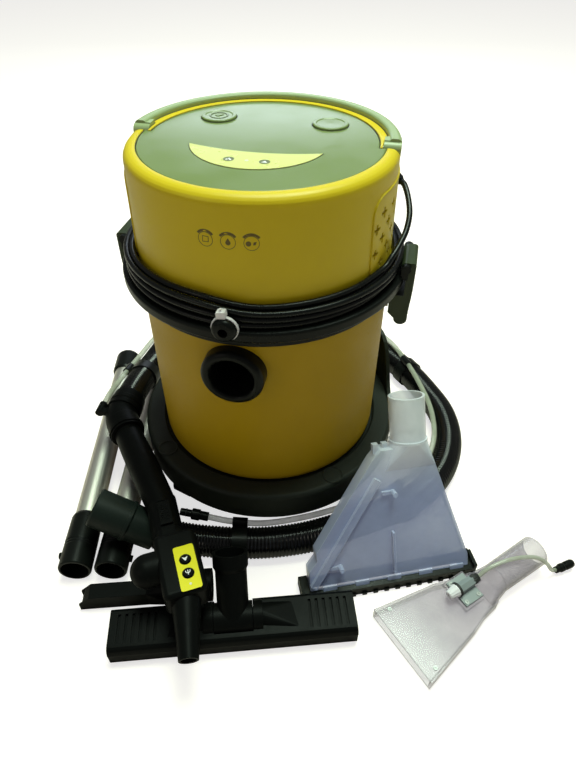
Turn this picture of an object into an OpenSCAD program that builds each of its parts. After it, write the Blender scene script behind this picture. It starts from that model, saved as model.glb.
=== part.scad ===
// Drum carpet cleaner with its suction hose, spray gun, extension tubes and nozzles.
// Millimetres. +Z is up, the drum's axis is the Z axis, the floor is z = 0
// and the suction inlet faces -Y.

/* [Drum] */
// Height from the floor to the top of the head
machine_h = 480; // [470:1:490]
// Outer radius of the yellow tank
tank_r = 149; // [147:0.5:150]
// Height of the tank floor above the ground
tank_z = 92; // [90:1:93]
// Wall of the moulded shells
wall = 3.5; // [3:0.1:4]

/* [Base] */
// Outer radius of the wheeled base
base_r = 180; // [178:1:182]
// Height of the flat deck around the tank
deck_z = 100; // [99:1:101]
// Height of the raised rear wall
rear_wall_z = 182; // [150:1:200]
// Radius of the circle that the caster stems stand on
caster_circle_r = 132; // [128:1:133]

/* [Casters] */
// Wheel radius
wheel_r = 21; // [20:0.5:21.5]
// Distance from stem to axle
caster_trail = 12; // [10:0.5:12.5]

/* [Hose set] */
// Outer radius of the corrugated suction hose
hose_r = 21; // [19:0.5:21.5]
// Outer radius of the clear water tube
water_tube_r = 4; // [3.5:0.5:4]
// Inner radius of the suction inlet
inlet_bore_r = 25.1; // [25.05:0.05:25.5]
// Radius of the spigot on the hose cuff
cuff_r = 25; // [24.5:0.05:25]

/* [Tools] */
// Radius of the aluminium extension tubes
tube_r = 17.5; // [17:0.5:17.5]
// Length of one extension tube
tube_len = 430; // [400:5:440]
// Width of the floor nozzle
nozzle_w = 290; // [270:2:300]

/* [Power cord] */
// Radius of the mains lead
cord_r = 3.3; // [3:0.1:3.5]

/* [Hidden] */
$fn = 64;

// Small gap between pieces that move past each other
gap = 0.4;
// Radial clearance of a pin that turns in its hole
running = 0.05;
// Overlap that keeps cutters clear of the faces that they cut
over = 1;

// Heights of the head
band_top_z = 349.2;
band_low_z = 336;
tank_top_z = 334;
plate_z = 339;
plate_t = 4;
deck_top_z = machine_h - 5.8;
deck_t = 3.2;
panel_top_z = machine_h - 0.6;

// Radii of the head
head_low_r = 147.8;
head_top_r = 145.2;
rim_r = 10;
front_panel_r = 131.6;
rear_panel_r = 124;
groove_r = 132.4;
band_r = 168;

// Carry handle pivot
handle_y = 8;
handle_z = machine_h - 4;
handle_hub_r = 7;
handle_pin_r = 2.5;

// Side latches
latch_w = 46;
latch_x = 168;
latch_z = 358;
latch_pin_r = 2.5;

// Push buttons on the lid
button_at = [64, 56];
button_r = 20;
button_travel = 2.5;

// Front sockets
inlet_z = 282;
outlet_r = 13;
outlet_back = 162.75;
outlet_z = 354;

// Winding of the mains lead on the band's ledge
winding_r0 = 149.2;
winding_r1 = 161.2;
winding_top_z = 376;

caster_angles = [-43, 43, -137, 137];
caster_turns = [25, -160, 70, 200];

// Placing of the loose tools: [x, y] and turn about Z
gun_at = [-186.5, -95.5];
gun_z = 88;
gun_turn = -49.5;
gun_bend = -10;
grip_len = 147;
grip_r = 21;
throat_r = grip_r - 2.2;
elbow_run = 22;
elbow_r = 34;
elbow_turn = 36;
left_tube_at = [-192, -280];
left_tube_turn = 104;
right_tube_at = [-147, -270.5];
right_tube_turn = 101.5;
crevice_at = [-172, -308];
crevice_turn = 16.5;
nozzle_at = [27, -305];
nozzle_turn = 17;
nozzle_tilt = 40;
carpet_at = [98, -238];
carpet_turn = 22.5;
carpet_lean = 28;
upholstery_at = [224, -287];
upholstery_turn = 44.5;

// Route of the suction hose, from the spray gun to the cuff
hose_route = [
    [-209.4, -51.4, 88], [-211.2, -29, 88], [-214, 2, 84], [-218, 40, 74], [-220, 84, 64.5],
    [-216, 130, 63], [-206, 172, 58], [-189, 213, 50], [-160, 251, 39], [-119, 281, 28],
    [-64, 299, 22], [-4, 306, 21], [57, 299, 21], [113, 276, 21], [159, 241, 21], [200, 201, 21],
    [234, 155, 21], [261.6, 106.2, 21], [272.5, 53, 21], [267.2, 0.6, 21], [247.2, -47.2, 21],
    [212.6, -88.7, 21], [169, -120, 21], [126, -149, 21], [86, -171, 21], [44, -187, 21],
    [4, -197, 21], [-36, -205, 24.5], [-66, -212, 32], [-87, -217, 41], [-103.5, -220.3, 48.5]
];
// Route of the clear water tube, from the gun along the hose
water_route = [
    [-239.3, -53.8, 96], [-241, -27, 95], [-241, 4, 92], [-244, 42, 82.5], [-245.2, 88, 73.5],
    [-240.5, 136, 72], [-230, 177, 69], [-208.5, 225, 63.5], [-175.5, 266, 54], [-130, 299, 44.5],
    [-70, 318, 39.5], [-5, 325.5, 38.5], [61, 317.5, 39.5], [120, 291.5, 41.5], [164, 247.5, 46.5],
    [196, 196, 47.5], [221.5, 147, 44], [241.5, 98, 39.5], [249.7, 49.3, 35], [245, 5.8, 35],
    [228.4, -35.5, 36.5], [198, -73.5, 39], [158, -104, 40], [116, -134, 41], [73, -157, 41],
    [29, -173.5, 40.5], [-11.5, -180.5, 43], [-44, -184, 49]
];
// Route of the mains lead from its gland down to the winding
lead_route = [
    [148.6, 53, 424], [153, 46, 423.2], [159, 30, 416], [163, 11, 406], [162, -7, 395],
    [157, -24, 386], [151, -39, 379], [144, -56, 373]
];
// Route of the mains lead from the winding down to its plug
tail_route = [
    [-41, 154, 368.5], [-19, 160, 370.5], [4, 163.5, 369], [22, 170, 361], [33, 175.5, 347],
    [37, 177, 330], [37, 177, 304]
];
// Route of the clear tube on the upholstery nozzle, in that nozzle's own frame
spray_route = [
    [131, 10.2, 30.8], [144, 8.5, 40.5], [166, 3, 45.5], [188, -5, 46], [207, -14, 41],
    [220, -23, 29], [229, -29, 14], [239, -31, 8]
];

clip_spots = [3, 9, 15, 21, 26];

// --- helpers ---------------------------------------------------------------

// Points of an arc about a centre
function arc(c, r, from, to, steps = 5) =
    [for (i = [0:steps]) let (a = from + (to - from) * i / steps) c + r * [cos(a), sin(a)]];

function unit(v) = v / norm(v);

// Direction of a route at one of its points
function heading(route, i) =
    unit(route[min(i + 1, len(route) - 1)] - route[max(i - 1, 0)]);

// One ring of points square to the route; ref is never along the route
function ring(p, dir, r, sides, ref) =
    let (side = unit(cross(ref, dir)), rise = cross(dir, side))
    [for (k = [0:sides - 1]) p + r * (cos(360 * k / sides) * side + sin(360 * k / sides) * rise)];

// Closed tube swept along a route
module swept_tube(route, r, sides = 8, ref = [0, 0, 1]) {
    n = len(route);
    points = [for (i = [0:n - 1]) each ring(route[i], heading(route, i), r, sides, ref)];
    walls = [
        for (i = [0:n - 2], k = [0:sides - 1])
            let (a = i * sides, b = (k + 1) % sides) [a + k, a + sides + k, a + sides + b, a + b]
    ];
    ends = [[for (k = [0:sides - 1]) k], [for (k = [sides - 1:-1:0]) (n - 1) * sides + k]];
    polyhedron(points = points, faces = concat(walls, ends), convexity = 6);
}

// Turns children so that their +Z looks along a direction
module look_along(dir) {
    rotate([0, acos(dir[2] / norm(dir)), atan2(dir[1], dir[0])]) children();
}

// Puts children on the drum's wall: angle from the front, radius and height, +X outwards
module on_wall(angle, r, z) {
    rotate([0, 0, angle - 90]) translate([r, 0, z]) children();
}

module both_sides() {
    children();
    mirror([1, 0, 0]) children();
}

// Ring with a rectangular section
module hoop(r0, r1, z0, z1) {
    rotate_extrude() translate([r0, z0]) square([r1 - r0, z1 - z0]);
}

module rounded_square(size, r) {
    square([size[0] - 2 * r, size[1]], center = true);
    square([size[0], size[1] - 2 * r], center = true);
    for (sx = [-1, 1], sy = [-1, 1])
        translate([sx * (size[0] / 2 - r), sy * (size[1] / 2 - r)]) circle(r);
}

module spot(at, turn) {
    translate([at[0], at[1], 0]) rotate([0, 0, turn]) children();
}

// --- tank and base ---------------------------------------------------------

module tank() {
    corner = 12;
    profile = concat(
        [[0, tank_z]],
        arc([tank_r - corner, tank_z + corner], corner, -90, 0),
        [[tank_r, tank_top_z - 8], [tank_r + 2.2, tank_top_z - 6], [tank_r + 2.2, tank_top_z],
         [tank_r - wall, tank_top_z]],
        arc([tank_r - corner, tank_z + corner], corner - wall, 0, -90),
        [[0, tank_z + wall]]
    );
    color("#a8861a") difference() {
        union() {
            rotate_extrude($fn = 96) polygon(profile);
            both_sides() translate([tank_r - 2, -15, 299]) cube([6, 30, 9]);
        }
        translate([0, -tank_r + 12, inlet_z]) rotate([90, 0, 0]) cylinder(r = 28, h = 20);
    }
}

module base_ring() {
    skin = 3.6;
    rim = 6;
    recess_r = tank_r + 3;
    profile = concat(
        [[0, tank_z], [recess_r, tank_z], [recess_r, deck_z - 2], [recess_r + 2, deck_z]],
        arc([base_r - rim, deck_z - rim], rim, 90, 0),
        [[base_r, 60], [base_r - skin, 60]],
        arc([base_r - rim, deck_z - rim], rim - skin, 0, 90),
        [[recess_r + skin, deck_z - skin], [recess_r + skin, tank_z - 4], [0, tank_z - 4]]
    );
    color("#2f332c") difference() {
        union() {
            rotate_extrude($fn = 96) polygon(profile);
            rear_wall();
            for (a = caster_angles) on_wall(a, caster_circle_r, 60) cylinder(r = 12, h = tank_z - 62);
            for (a = [0:22.5:337.5])
                on_wall(a, recess_r + skin - over, 66) translate([0, -1, 0])
                    cube([base_r - recess_r - 2 * skin + 2 * over, 2, deck_z - 68]);
        }
        for (a = caster_angles) on_wall(a, caster_circle_r, 60 - over)
            cylinder(r = 5 + running, h = 26);
        for (a = [-43, 43]) on_wall(a, 166, deck_z - 1.6) difference() {
            cylinder(r = 13.6, h = 3);
            translate([0, 0, -over]) cylinder(r = 11.6, h = 5);
        }
    }
}

// Upright wall round the back, rising from the deck at both sides
module rear_wall() {
    rise_y = 22;
    intersection() {
        rotate_extrude($fn = 96) polygon(concat(
            [[base_r - 5, deck_z - 4]],
            [[base_r - 5, rear_wall_z - 3]],
            arc([base_r - 4, rear_wall_z - 4], 4, 135, 0, 4),
            [[base_r, deck_z - 6]]
        ));
        translate([-base_r - over, 0, 0]) rotate([90, 0, 90])
            linear_extrude(2 * base_r + 2 * over) polygon(concat(
                [[rise_y, deck_z - 10]],
                arc([rise_y, deck_z + 40], 40, -90, -30, 4),
                arc([rise_y + 91, rear_wall_z - 42], 42, 150, 90, 4),
                [[base_r + over, rear_wall_z], [base_r + over, deck_z - 10]]
            ));
    }
}

module suction_inlet() {
    lip = 6;
    inner_lip = 3.5;
    flange_r = 35.5;
    front_y = 165;
    flange = concat(
        [[inlet_bore_r, 0], [flange_r, 0]],
        arc([flange_r - lip, front_y - tank_r + 8 - lip], lip, 0, 90),
        arc([inlet_bore_r + inner_lip, front_y - tank_r + 8 - inner_lip], inner_lip, 90, 180)
    );
    color("#151716") difference() {
        translate([0, -tank_r + 8, inlet_z]) rotate([90, 0, 0]) union() {
            rotate_extrude() polygon(flange);
            translate([0, 0, -38]) difference() {
                cylinder(r = 28, h = 46);
                translate([0, 0, -over]) cylinder(r = inlet_bore_r, h = 50);
            }
        }
        difference() {
            translate([0, 0, inlet_z - 60]) cylinder(r = tank_r + 0.05, h = 120, $fn = 96);
            translate([0, -tank_r + 60, inlet_z]) rotate([90, 0, 0]) cylinder(r = 28, h = 80);
        }
    }
}

module clean_water_container() {
    top_z = 256;
    module body(shrink, z0, z1) {
        translate([0, 0, z0]) linear_extrude(z1 - z0) intersection() {
            circle(r = 136.8 - shrink, $fn = 96);
            translate([-150, 62 + shrink]) square([300, 100]);
        }
    }
    color("#dfe3e0") difference() {
        union() {
            body(0, tank_z + wall, top_z);
            translate([75, 88, top_z - over]) cylinder(r = 19, h = 11);
            for (z = [258, 262]) translate([75, 88, z]) cylinder(r = 20.5, h = 2);
        }
        body(3, tank_z + wall + 3, top_z - 3);
        translate([75, 88, top_z - 10]) cylinder(r = 16, h = 30);
        translate([0, 100, top_z - 10]) cylinder(r = 9, h = 20);
    }
}

// --- head ------------------------------------------------------------------

module head_shell() {
    outer = concat(
        [[head_low_r, band_top_z + 0.1]],
        arc([head_top_r - rim_r, machine_h - rim_r], rim_r, 0, 90),
        [[front_panel_r, machine_h], [front_panel_r, deck_top_z], [0, deck_top_z], [0, deck_top_z - deck_t],
         [head_top_r - 18, deck_top_z - deck_t]],
        arc([head_top_r - 14, machine_h - 22], 11, 80, 0),
        [[head_low_r - wall, band_top_z + 0.1]]
    );
    color("#d9c81e") difference() {
        union() {
            rotate_extrude($fn = 96) polygon(outer);
            // narrow ring between the panel and the folded handle
            intersection() {
                hoop(rear_panel_r, groove_r + 0.6, deck_top_z - over, machine_h);
                translate([-150, -2.6, 0]) cube([300, 160, 500]);
            }
            // seats of the handle pivots
            both_sides() translate([rear_panel_r - 2, handle_y, handle_z]) rotate([0, 90, 0])
                intersection() {
                    cylinder(r = 11, h = 18);
                    translate([2, -20, 0]) cube([20, 40, 20]);
                }
            for (sx = [-1, 1], y = [-60, 20]) translate([70 * sx, y, 450]) cylinder(r = 4, h = 23);
        }
        handle_groove();
        both_sides() {
            translate([button_at[0], button_at[1], 460]) cylinder(r = 4.4, h = 30);
            translate([rear_panel_r - over, handle_y, handle_z]) rotate([0, 90, 0])
                cylinder(r = handle_pin_r, h = 6);
            vent_window(1);
        }
        translate([0, -62, 460]) cylinder(r = 3, h = 30);
    }
}

module handle_groove() {
    difference() {
        union() {
            hoop(groove_r, 160, deck_top_z - 0.6, machine_h + 20);
            both_sides() translate([rear_panel_r + 2.6, handle_y - 10.6, deck_top_z - 0.6])
                cube([30, 24, 30]);
        }
        translate([-170, -170, 0]) cube([340, 170 + handle_y - 10.6, 600]);
    }
    both_sides() translate([rear_panel_r + 2.6, handle_y, handle_z]) rotate([0, 90, 0])
        cylinder(r = handle_hub_r + 0.5, h = 30);
}

// Opening for a vent grille; grow makes it larger all round
module vent_window(grow, depth = 60) {
    translate([110, 0, 406]) rotate([90, 0, 90])
        linear_extrude(depth) rounded_square([134 + 2 * grow, 92 + 2 * grow], 16);
}

module vent_grilles() {
    pitch = [12.5, 14];
    arm = [11.5, 3];
    color("#cdbd1c") both_sides() difference() {
        intersection() {
            rotate_extrude($fn = 96) polygon([
                [head_low_r - 3, band_top_z + 2], [head_low_r + 0.4, band_top_z + 2],
                [head_top_r + 0.9, machine_h - 12], [head_top_r - 2.6, machine_h - 12]
            ]);
            vent_window(0.98);
        }
        for (i = [-5:5], j = [-2:2]) if ((i + j) % 2 == 0)
            translate([90, i * pitch[0], 406 + j * pitch[1]]) rotate([90, 0, 90])
                for (turn = [0, 90]) rotate(turn) translate([-arm[0] / 2, -arm[1] / 2])
                    cube([arm[0], arm[1], 80]);
    }
}

module clamp_band() {
    profile = concat(
        [[144, 334.5], [146, 334.5], [146, 337], [150, 337], [150, 334.5], [152.3, 334.5], [152.3, 323],
         [155.3, 323], [156.5, band_low_z]],
        arc([band_r - 3, band_low_z + 3], 3, -90, 0, 3),
        arc([band_r - 3, band_top_z - 3], 3, 0, 90, 3),
        [[144, band_top_z]]
    );
    color("#1b1e1c") difference() {
        union() {
            rotate_extrude($fn = 96) polygon(profile);
            both_sides() for (sy = [-1, 1]) translate([0, sy * (latch_w / 2 + 3.4), 0]) rotate([90, 0, 0])
                translate([0, 0, -2.5]) linear_extrude(5) union() {
                    translate([latch_x, latch_z]) circle(r = 5.5);
                    translate([latch_x - 5.2, band_top_z - 4]) square([8.5, latch_z - band_top_z + 5]);
                }
        }
        // blind holes of the latch pins
        both_sides() translate([latch_x, -latch_w / 2 - 4.6, latch_z]) rotate([-90, 0, 0])
            cylinder(r = latch_pin_r, h = latch_w + 9.2);
        // seat of the water coupling
        translate([0, -outlet_back, outlet_z]) rotate([90, 0, 0]) cylinder(r = outlet_r + 0.05, h = 20);
    }
}

module seals() {
    color("#2a2a2a") {
        hoop(146.1, 149.9, 334.4, 336.9);
        hoop(58, 70, plate_z + plate_t, plate_z + plate_t + 2);
    }
}

module top_panel() {
    seam = 0.8;
    color("#8aa06a") difference() {
        union() {
            intersection() {
                rotate_extrude($fn = 96) polygon([
                    [0, deck_top_z], [front_panel_r - seam, deck_top_z],
                    [front_panel_r - seam, panel_top_z - 1],
                    [front_panel_r - seam - 1, panel_top_z], [0, panel_top_z]
                ]);
                translate([-150, -150, 0]) cube([300, 147, 500]);
            }
            intersection() {
                rotate_extrude($fn = 96) polygon([
                    [0, deck_top_z], [rear_panel_r - seam, deck_top_z],
                    [rear_panel_r - seam, panel_top_z - 1],
                    [rear_panel_r - seam - 1, panel_top_z], [0, panel_top_z]
                ]);
                translate([-150, -3.1, 0]) cube([300, 160, 500]);
            }
        }
        both_sides() translate([button_at[0], button_at[1], 460]) cylinder(r = button_r + gap, h = 30);
        translate([0, 0, panel_top_z - 1.4]) linear_extrude(5) crescent(0.2);
    }
}

// Smile-shaped outline of the control strip
module crescent(grow) {
    difference() {
        translate([0, -10.5]) circle(r = 72.5 + grow, $fn = 96);
        translate([0, 187]) circle(r = 228 - grow, $fn = 180);
    }
}

module crescent_panel() {
    color("#d8d45c") translate([0, 0, panel_top_z - 1.4]) linear_extrude(2) crescent(0);
}

module push_button(x) {
    cap_z = deck_top_z + button_travel + 0.6;
    color("#7c9260") translate([x, button_at[1], 0]) {
        rotate_extrude() polygon(concat(
            [[0, cap_z], [button_r - 0.6, cap_z], [button_r, cap_z + 0.6]],
            arc([button_r - 1.5, machine_h + 0.2], 1.5, 0, 90, 3),
            [[button_r - 4, machine_h + 1.7], [button_r - 5, machine_h + 1.1], [0, machine_h + 0.9]]
        ));
        translate([0, 0, 466.5]) cylinder(r = 3.9, h = 12);
    }
}

module power_button() { push_button(-button_at[0]); }
module pump_button() { push_button(button_at[0]); }

module carry_handle() {
    r0 = groove_r + 0.7;
    r1 = head_top_r;
    z0 = deck_top_z;
    z1 = machine_h + 6;
    section = concat(
        arc([r1 - 4, z1 - 4], 4, 0, 90, 3), arc([r0 + 3, z1 - 3], 3, 90, 180, 3),
        [[r0, z0 + 1.5], [r0 + 1.5, z0], [r1 - 1.5, z0], [r1, z0 + 1.5]]
    );
    color("#8fa574") difference() {
        union() {
            intersection() {
                rotate_extrude($fn = 96) polygon(section);
                translate([-160, handle_y, 0]) cube([320, 160, 600]);
            }
            both_sides() {
                translate([rear_panel_r + 3.2, handle_y, handle_z]) rotate([0, 90, 0])
                    cylinder(r = handle_hub_r, h = 18);
                intersection() {
                    translate([rear_panel_r + 3.2, handle_y, z0]) cube([18, 12, z1 - z0 - 2]);
                    cylinder(r = r1, h = 600, $fn = 96);
                }
            }
        }
        both_sides() translate([rear_panel_r, handle_y, handle_z]) rotate([0, 90, 0])
            cylinder(r = handle_pin_r + running, h = 30);
    }
}

module pivot_pins() {
    color("#9a9da0") both_sides() {
        translate([rear_panel_r - 0.5, handle_y, handle_z]) rotate([0, 90, 0])
            cylinder(r = handle_pin_r, h = 18);
        translate([latch_x, latch_w / 2 + 4.5, latch_z]) rotate([90, 0, 0])
            cylinder(r = latch_pin_r, h = latch_w + 9);
    }
}

// Latch on the right; its lower end swings outwards about the pin at the top
module latch() {
    outline = concat(
        arc([latch_x, latch_z], 5.8, 180, 90, 4),
        arc([175.5, latch_z + 2.3], 3.5, 90, 0, 3),
        [[179, 330], [177.5, 296]],
        arc([169.5, 288.5], 8, 0, -180, 8),
        [[153.8, 296], [153.6, 317], [158, 320.5], [169.4, 321], [169.4, 351.3], [163, 352.4]]
    );
    color("#22261f") difference() {
        translate([0, latch_w / 2, 0]) rotate([90, 0, 0]) linear_extrude(latch_w) polygon(outline);
        translate([latch_x, -40, latch_z]) rotate([-90, 0, 0]) cylinder(r = latch_pin_r + running, h = 80);
        // hollow inner side behind the outer skin
        translate([150, -latch_w / 2 + 4, 297]) cube([18, latch_w - 8, 16]);
        // finger ribs near the free end
        for (z = [290:5:310]) translate([178.3, -over - latch_w / 2, z]) rotate([-90, 0, 0])
            cylinder(r = 1.6, h = latch_w + 2 * over, $fn = 16);
    }
}

module latch_right() { latch(); }
module latch_left() { mirror([1, 0, 0]) latch(); }

module motor_plate() {
    color("#202220") difference() {
        translate([0, 0, plate_z]) cylinder(r = 143.9, h = plate_t, $fn = 96);
        translate([0, 0, plate_z - over]) cylinder(r = 20, h = plate_t + 2 * over);
        translate([0, 100, plate_z - over]) cylinder(r = 6, h = plate_t + 2 * over);
        for (a = [30:60:330]) rotate([0, 0, a]) translate([64, 0, plate_z - over]) cylinder(r = 2.2, h = 10);
    }
}

module fan_cover() {
    r = 70;
    z0 = plate_z + plate_t + 2;
    color("#b9bcbd") difference() {
        rotate_extrude() polygon([
            [22, z0], [r, z0], [r, z0 + 28], [12, z0 + 28], [12, z0 + 26.4], [r - 1.6, z0 + 26.4],
            [r - 1.6, z0 + 1.6], [22, z0 + 1.6]
        ]);
        for (a = [0:45:315]) rotate([0, 0, a]) translate([r - 5, -9, z0 + 8]) cube([10, 18, 13]);
    }
}

module motor() {
    z0 = plate_z + plate_t + 30;
    color("#8d9092") difference() {
        union() {
            translate([0, 0, z0]) cylinder(r = 46, h = 52);
            translate([0, 0, z0 + 52]) cylinder(r = 30, h = 8);
            translate([0, 0, z0 + 60]) cylinder(r = 12, h = 7);
            for (a = [0:20:340]) rotate([0, 0, a]) translate([44, -1.5, z0 + 8]) cube([5, 3, 36]);
        }
        translate([0, 0, z0 - over]) cylinder(r = 4 + running, h = 70);
    }
}

module fan_rotor() {
    z0 = plate_z + plate_t + 7;
    color("#c8cbcc") {
        translate([0, 0, z0 - 1]) cylinder(r = 4, h = 92);
        translate([0, 0, z0]) cylinder(r = 9, h = 18);
        translate([0, 0, z0 + 14]) cylinder(r = 62, h = 1.6);
        hoop(21, 62, z0, z0 + 1.6);
        for (a = [0:45:315]) rotate([0, 0, a]) translate([38, 26, z0 + 0.8]) intersection() {
            difference() {
                cylinder(r = 38, h = 14);
                translate([0, 0, -over]) cylinder(r = 36.2, h = 16);
            }
            translate([-41, -36, 0]) cube([34, 33, 14]);
        }
    }
}

module float_cage() {
    color("#e4e6e2") difference() {
        union() {
            hoop(36, 38.5, 262, plate_z);
            translate([0, 0, 262]) cylinder(r = 38.5, h = 3);
            hoop(36, 50, plate_z - 3, plate_z);
        }
        for (a = [0:45:315]) rotate([0, 0, a]) translate([30, -6, 270]) cube([12, 12, 60]);
        for (a = [0:60:300]) rotate([0, 0, a]) translate([22, 0, 261]) cylinder(r = 7, h = 6);
    }
}

module float_ball() {
    color("#f0f0ee") translate([0, 0, 291.3]) sphere(r = 26);
}

module foam_filter() {
    color("#3a3a3c") hoop(38.8, 46, 266, 333);
}

module water_pump() {
    z0 = plate_z + plate_t;
    color("#3c4a52") {
        translate([-26, 84, z0]) cube([52, 32, 30]);
        translate([-26, 100, z0 + 17]) rotate([0, -90, 0]) cylinder(r = 14, h = 26);
        difference() {
            translate([0, 100, 106]) cylinder(r = 5, h = z0 - 105);
            translate([0, 100, 105]) cylinder(r = 3.5, h = z0 - 110);
        }
        translate([0, 100, 100]) cylinder(r = 8, h = 8);
    }
}

module control_board() {
    color("#2d5a37") {
        translate([0, 0, 448]) linear_extrude(2) rounded_square([164, 144], 6);
        both_sides() {
            translate([button_at[0] - 10, button_at[1] - 8, 450]) cube([20, 16, 10]);
            translate([button_at[0], button_at[1], 460]) cylinder(r = 3, h = 3);
        }
        translate([0, -62, 450]) cylinder(r = 2.5, h = 20);
    }
}

// Coupling for the water tube, on a boss at the front of the band
module water_outlet() {
    color("#141615") translate([0, -outlet_back - 0.05, outlet_z]) rotate([90, 0, 0]) difference() {
        rotate_extrude() polygon(concat(
            [[0, 0], [outlet_r, 0], [outlet_r, 9]],
            arc([outlet_r - 5, 9], 5, 0, 90),
            [[0, 15.5]]
        ));
        translate([0, 0, 3]) cylinder(r = 5, h = 20);
    }
}

// --- mains lead ------------------------------------------------------------

module cord_gland() {
    color("#111111") difference() {
        on_wall(122, head_top_r - 1, 424) {
            translate([0, -9, -9]) cube([10, 18, 18]);
            translate([10, 9, 0]) rotate([90, 0, 0]) cylinder(r = 9, h = 18);
            translate([10, -9, 0]) rotate([90, 0, 0]) cylinder(r1 = 7, r2 = cord_r + 0.9, h = 24);
        }
        // inner side follows the shell
        translate([0, 0, band_top_z + 0.1]) cylinder(
            r1 = head_low_r + 0.03,
            r2 = head_top_r + 0.03,
            h = machine_h - rim_r - band_top_z - 0.1
        );
    }
}

module power_cord_winding() {
    color("#0e0e0e") rotate_extrude($fn = 96) translate([winding_r0, band_top_z + 0.2])
        square([winding_r1 - winding_r0, winding_top_z - band_top_z - 0.2]);
}

module power_cord_ends() {
    color("#0e0e0e") difference() {
        union() {
            swept_tube(lead_route, cord_r);
            swept_tube(tail_route, cord_r, ref = [0, 1, 0]);
        }
        hoop(winding_r0 - 0.6, winding_r1 + 0.6, band_top_z, winding_top_z + 0.1);
    }
}

module power_plug() {
    p = tail_route[len(tail_route) - 1];
    color("#101010") translate(p) rotate([180, 0, 0]) {
        rotate_extrude() polygon([
            [0, 0], [4.6, 0], [6, 16], [13, 24], [18.5, 27], [18.5, 45], [0, 45]
        ]);
        for (sx = [-1, 1]) translate([9.5 * sx, 0, 44]) cylinder(r = 2.4, h = 19);
    }
}

// --- casters ---------------------------------------------------------------

// Puts children in the frame of a caster stem, with the wheel trailing along +X
module caster_place(i) {
    on_wall(caster_angles[i], caster_circle_r, 0) rotate([0, 0, caster_turns[i]]) children();
}

module caster_fork(i) {
    hood_r = wheel_r + 3.5;
    web = 5.6;
    color("#1a1c1b") caster_place(i) difference() {
        union() {
            translate([0, 0, 40]) cylinder(r = 9, h = 17);
            translate([0, 0, 56]) cylinder(r = 5, h = 28);
            translate([caster_trail, 14, wheel_r]) rotate([90, 0, 0]) cylinder(r = hood_r, h = 28);
        }
        // pockets for the two wheels
        for (y = [web / 2 + 20, -web / 2]) translate([caster_trail, y, wheel_r]) rotate([90, 0, 0])
            cylinder(r = wheel_r + 1, h = 20);
        translate([-40, -20, -10]) cube([100, 40, wheel_r + 5]);
        translate([caster_trail, 20, wheel_r]) rotate([90, 0, 0]) cylinder(r = 3 + running, h = 40);
    }
}

module caster_wheels(i) {
    color("#3a3d3c") caster_place(i) translate([caster_trail, 0, wheel_r]) rotate([90, 0, 0]) {
        translate([0, 0, -13]) cylinder(r = 3, h = 26);
        for (side = [-1, 1]) translate([0, 0, side * 8.3]) difference() {
            translate([0, 0, -4.7]) cylinder(r = wheel_r, h = 9.4);
            translate([0, 0, side > 0 ? 2.2 : -6.2]) rotate_extrude() translate([8, 0]) square([8, 4]);
        }
    }
}

module caster_fork_front_left() { caster_fork(0); }
module caster_fork_front_right() { caster_fork(1); }
module caster_fork_rear_left() { caster_fork(2); }
module caster_fork_rear_right() { caster_fork(3); }
module caster_wheels_front_left() { caster_wheels(0); }
module caster_wheels_front_right() { caster_wheels(1); }
module caster_wheels_rear_left() { caster_wheels(2); }
module caster_wheels_rear_right() { caster_wheels(3); }

// --- hose set --------------------------------------------------------------

module suction_hose() {
    color("#161616") swept_tube(hose_route, hose_r, 12);
}

module water_tube() {
    color("#cdd3c0") swept_tube(water_route, water_tube_r, 8);
}

// Cuff that plugs into the suction inlet; it lies tilted over the tubes
module hose_cuff() {
    p = hose_route[len(hose_route) - 1];
    color("#1c211e") translate(p) look_along([-cos(26), -0.03, sin(26)]) difference() {
        rotate_extrude() polygon([
            [0, -4], [hose_r + 1.6, -4], [hose_r + 2.2, -2], [cuff_r - 0.5, 32], [cuff_r + 1.5, 34],
            [cuff_r + 1.5, 38], [cuff_r, 38], [cuff_r, 80], [cuff_r - 1.5, 82], [0, 82]
        ]);
        cylinder(r = 20.5, h = 90);
        translate([0, 0, -10]) cylinder(r = hose_r + 0.9, h = 13.2);
    }
}

// Where the water tube crosses the plane square to the hose at p
function beside(p, dir) = [
    for (i = [0:len(water_route) - 2])
        let (a = (water_route[i] - p) * dir, b = (water_route[i + 1] - p) * dir)
        if (a <= 0 && b > 0 && norm(water_route[i] - p) < 90)
            [water_route[i] + (water_route[i + 1] - water_route[i]) * a / (a - b),
             unit(water_route[i + 1] - water_route[i])]
][0];

// Clips that hold the water tube to the hose, and the plug on the tube's free end
module hose_fittings() {
    last = len(water_route) - 1;
    color("#171717") difference() {
        union() {
            for (i = clip_spots) {
                p = hose_route[i];
                spot = beside(p, heading(hose_route, i));
                translate(p) look_along(heading(hose_route, i))
                    cylinder(r = hose_r + 2.2, h = 20, center = true);
                translate(spot[0]) look_along(spot[1])
                    cylinder(r = water_tube_r + 2, h = 20, center = true);
            }
            translate(water_route[last]) look_along(heading(water_route, last)) rotate_extrude()
                polygon([
                    [0, -3], [6, -3], [6, 8], [7.5, 9], [7.5, 19],
                    [4.95, 20], [4.95, 34], [4, 35], [0, 35]
                ]);
        }
        swept_tube(hose_route, hose_r + 0.2, 12);
        swept_tube(water_route, water_tube_r + 0.15, 8);
        // clips that lie on the floor are open underneath
        translate([-400, -400, -10]) cube([800, 800, 10.1]);
    }
}

module gun_frame() {
    translate([gun_at[0], gun_at[1], gun_z]) rotate([0, 0, gun_turn]) children();
}

// Frame of the switch block, which bends away from the grip
module block_frame() {
    gun_frame() translate([grip_len, 0, 0]) rotate([0, 0, gun_bend]) children();
}

// Frame of the outlet at the front of the switch block
module outlet_frame() {
    block_frame() translate([132, 4.5, -2]) rotate([0, 9, -10]) children();
}

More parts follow.
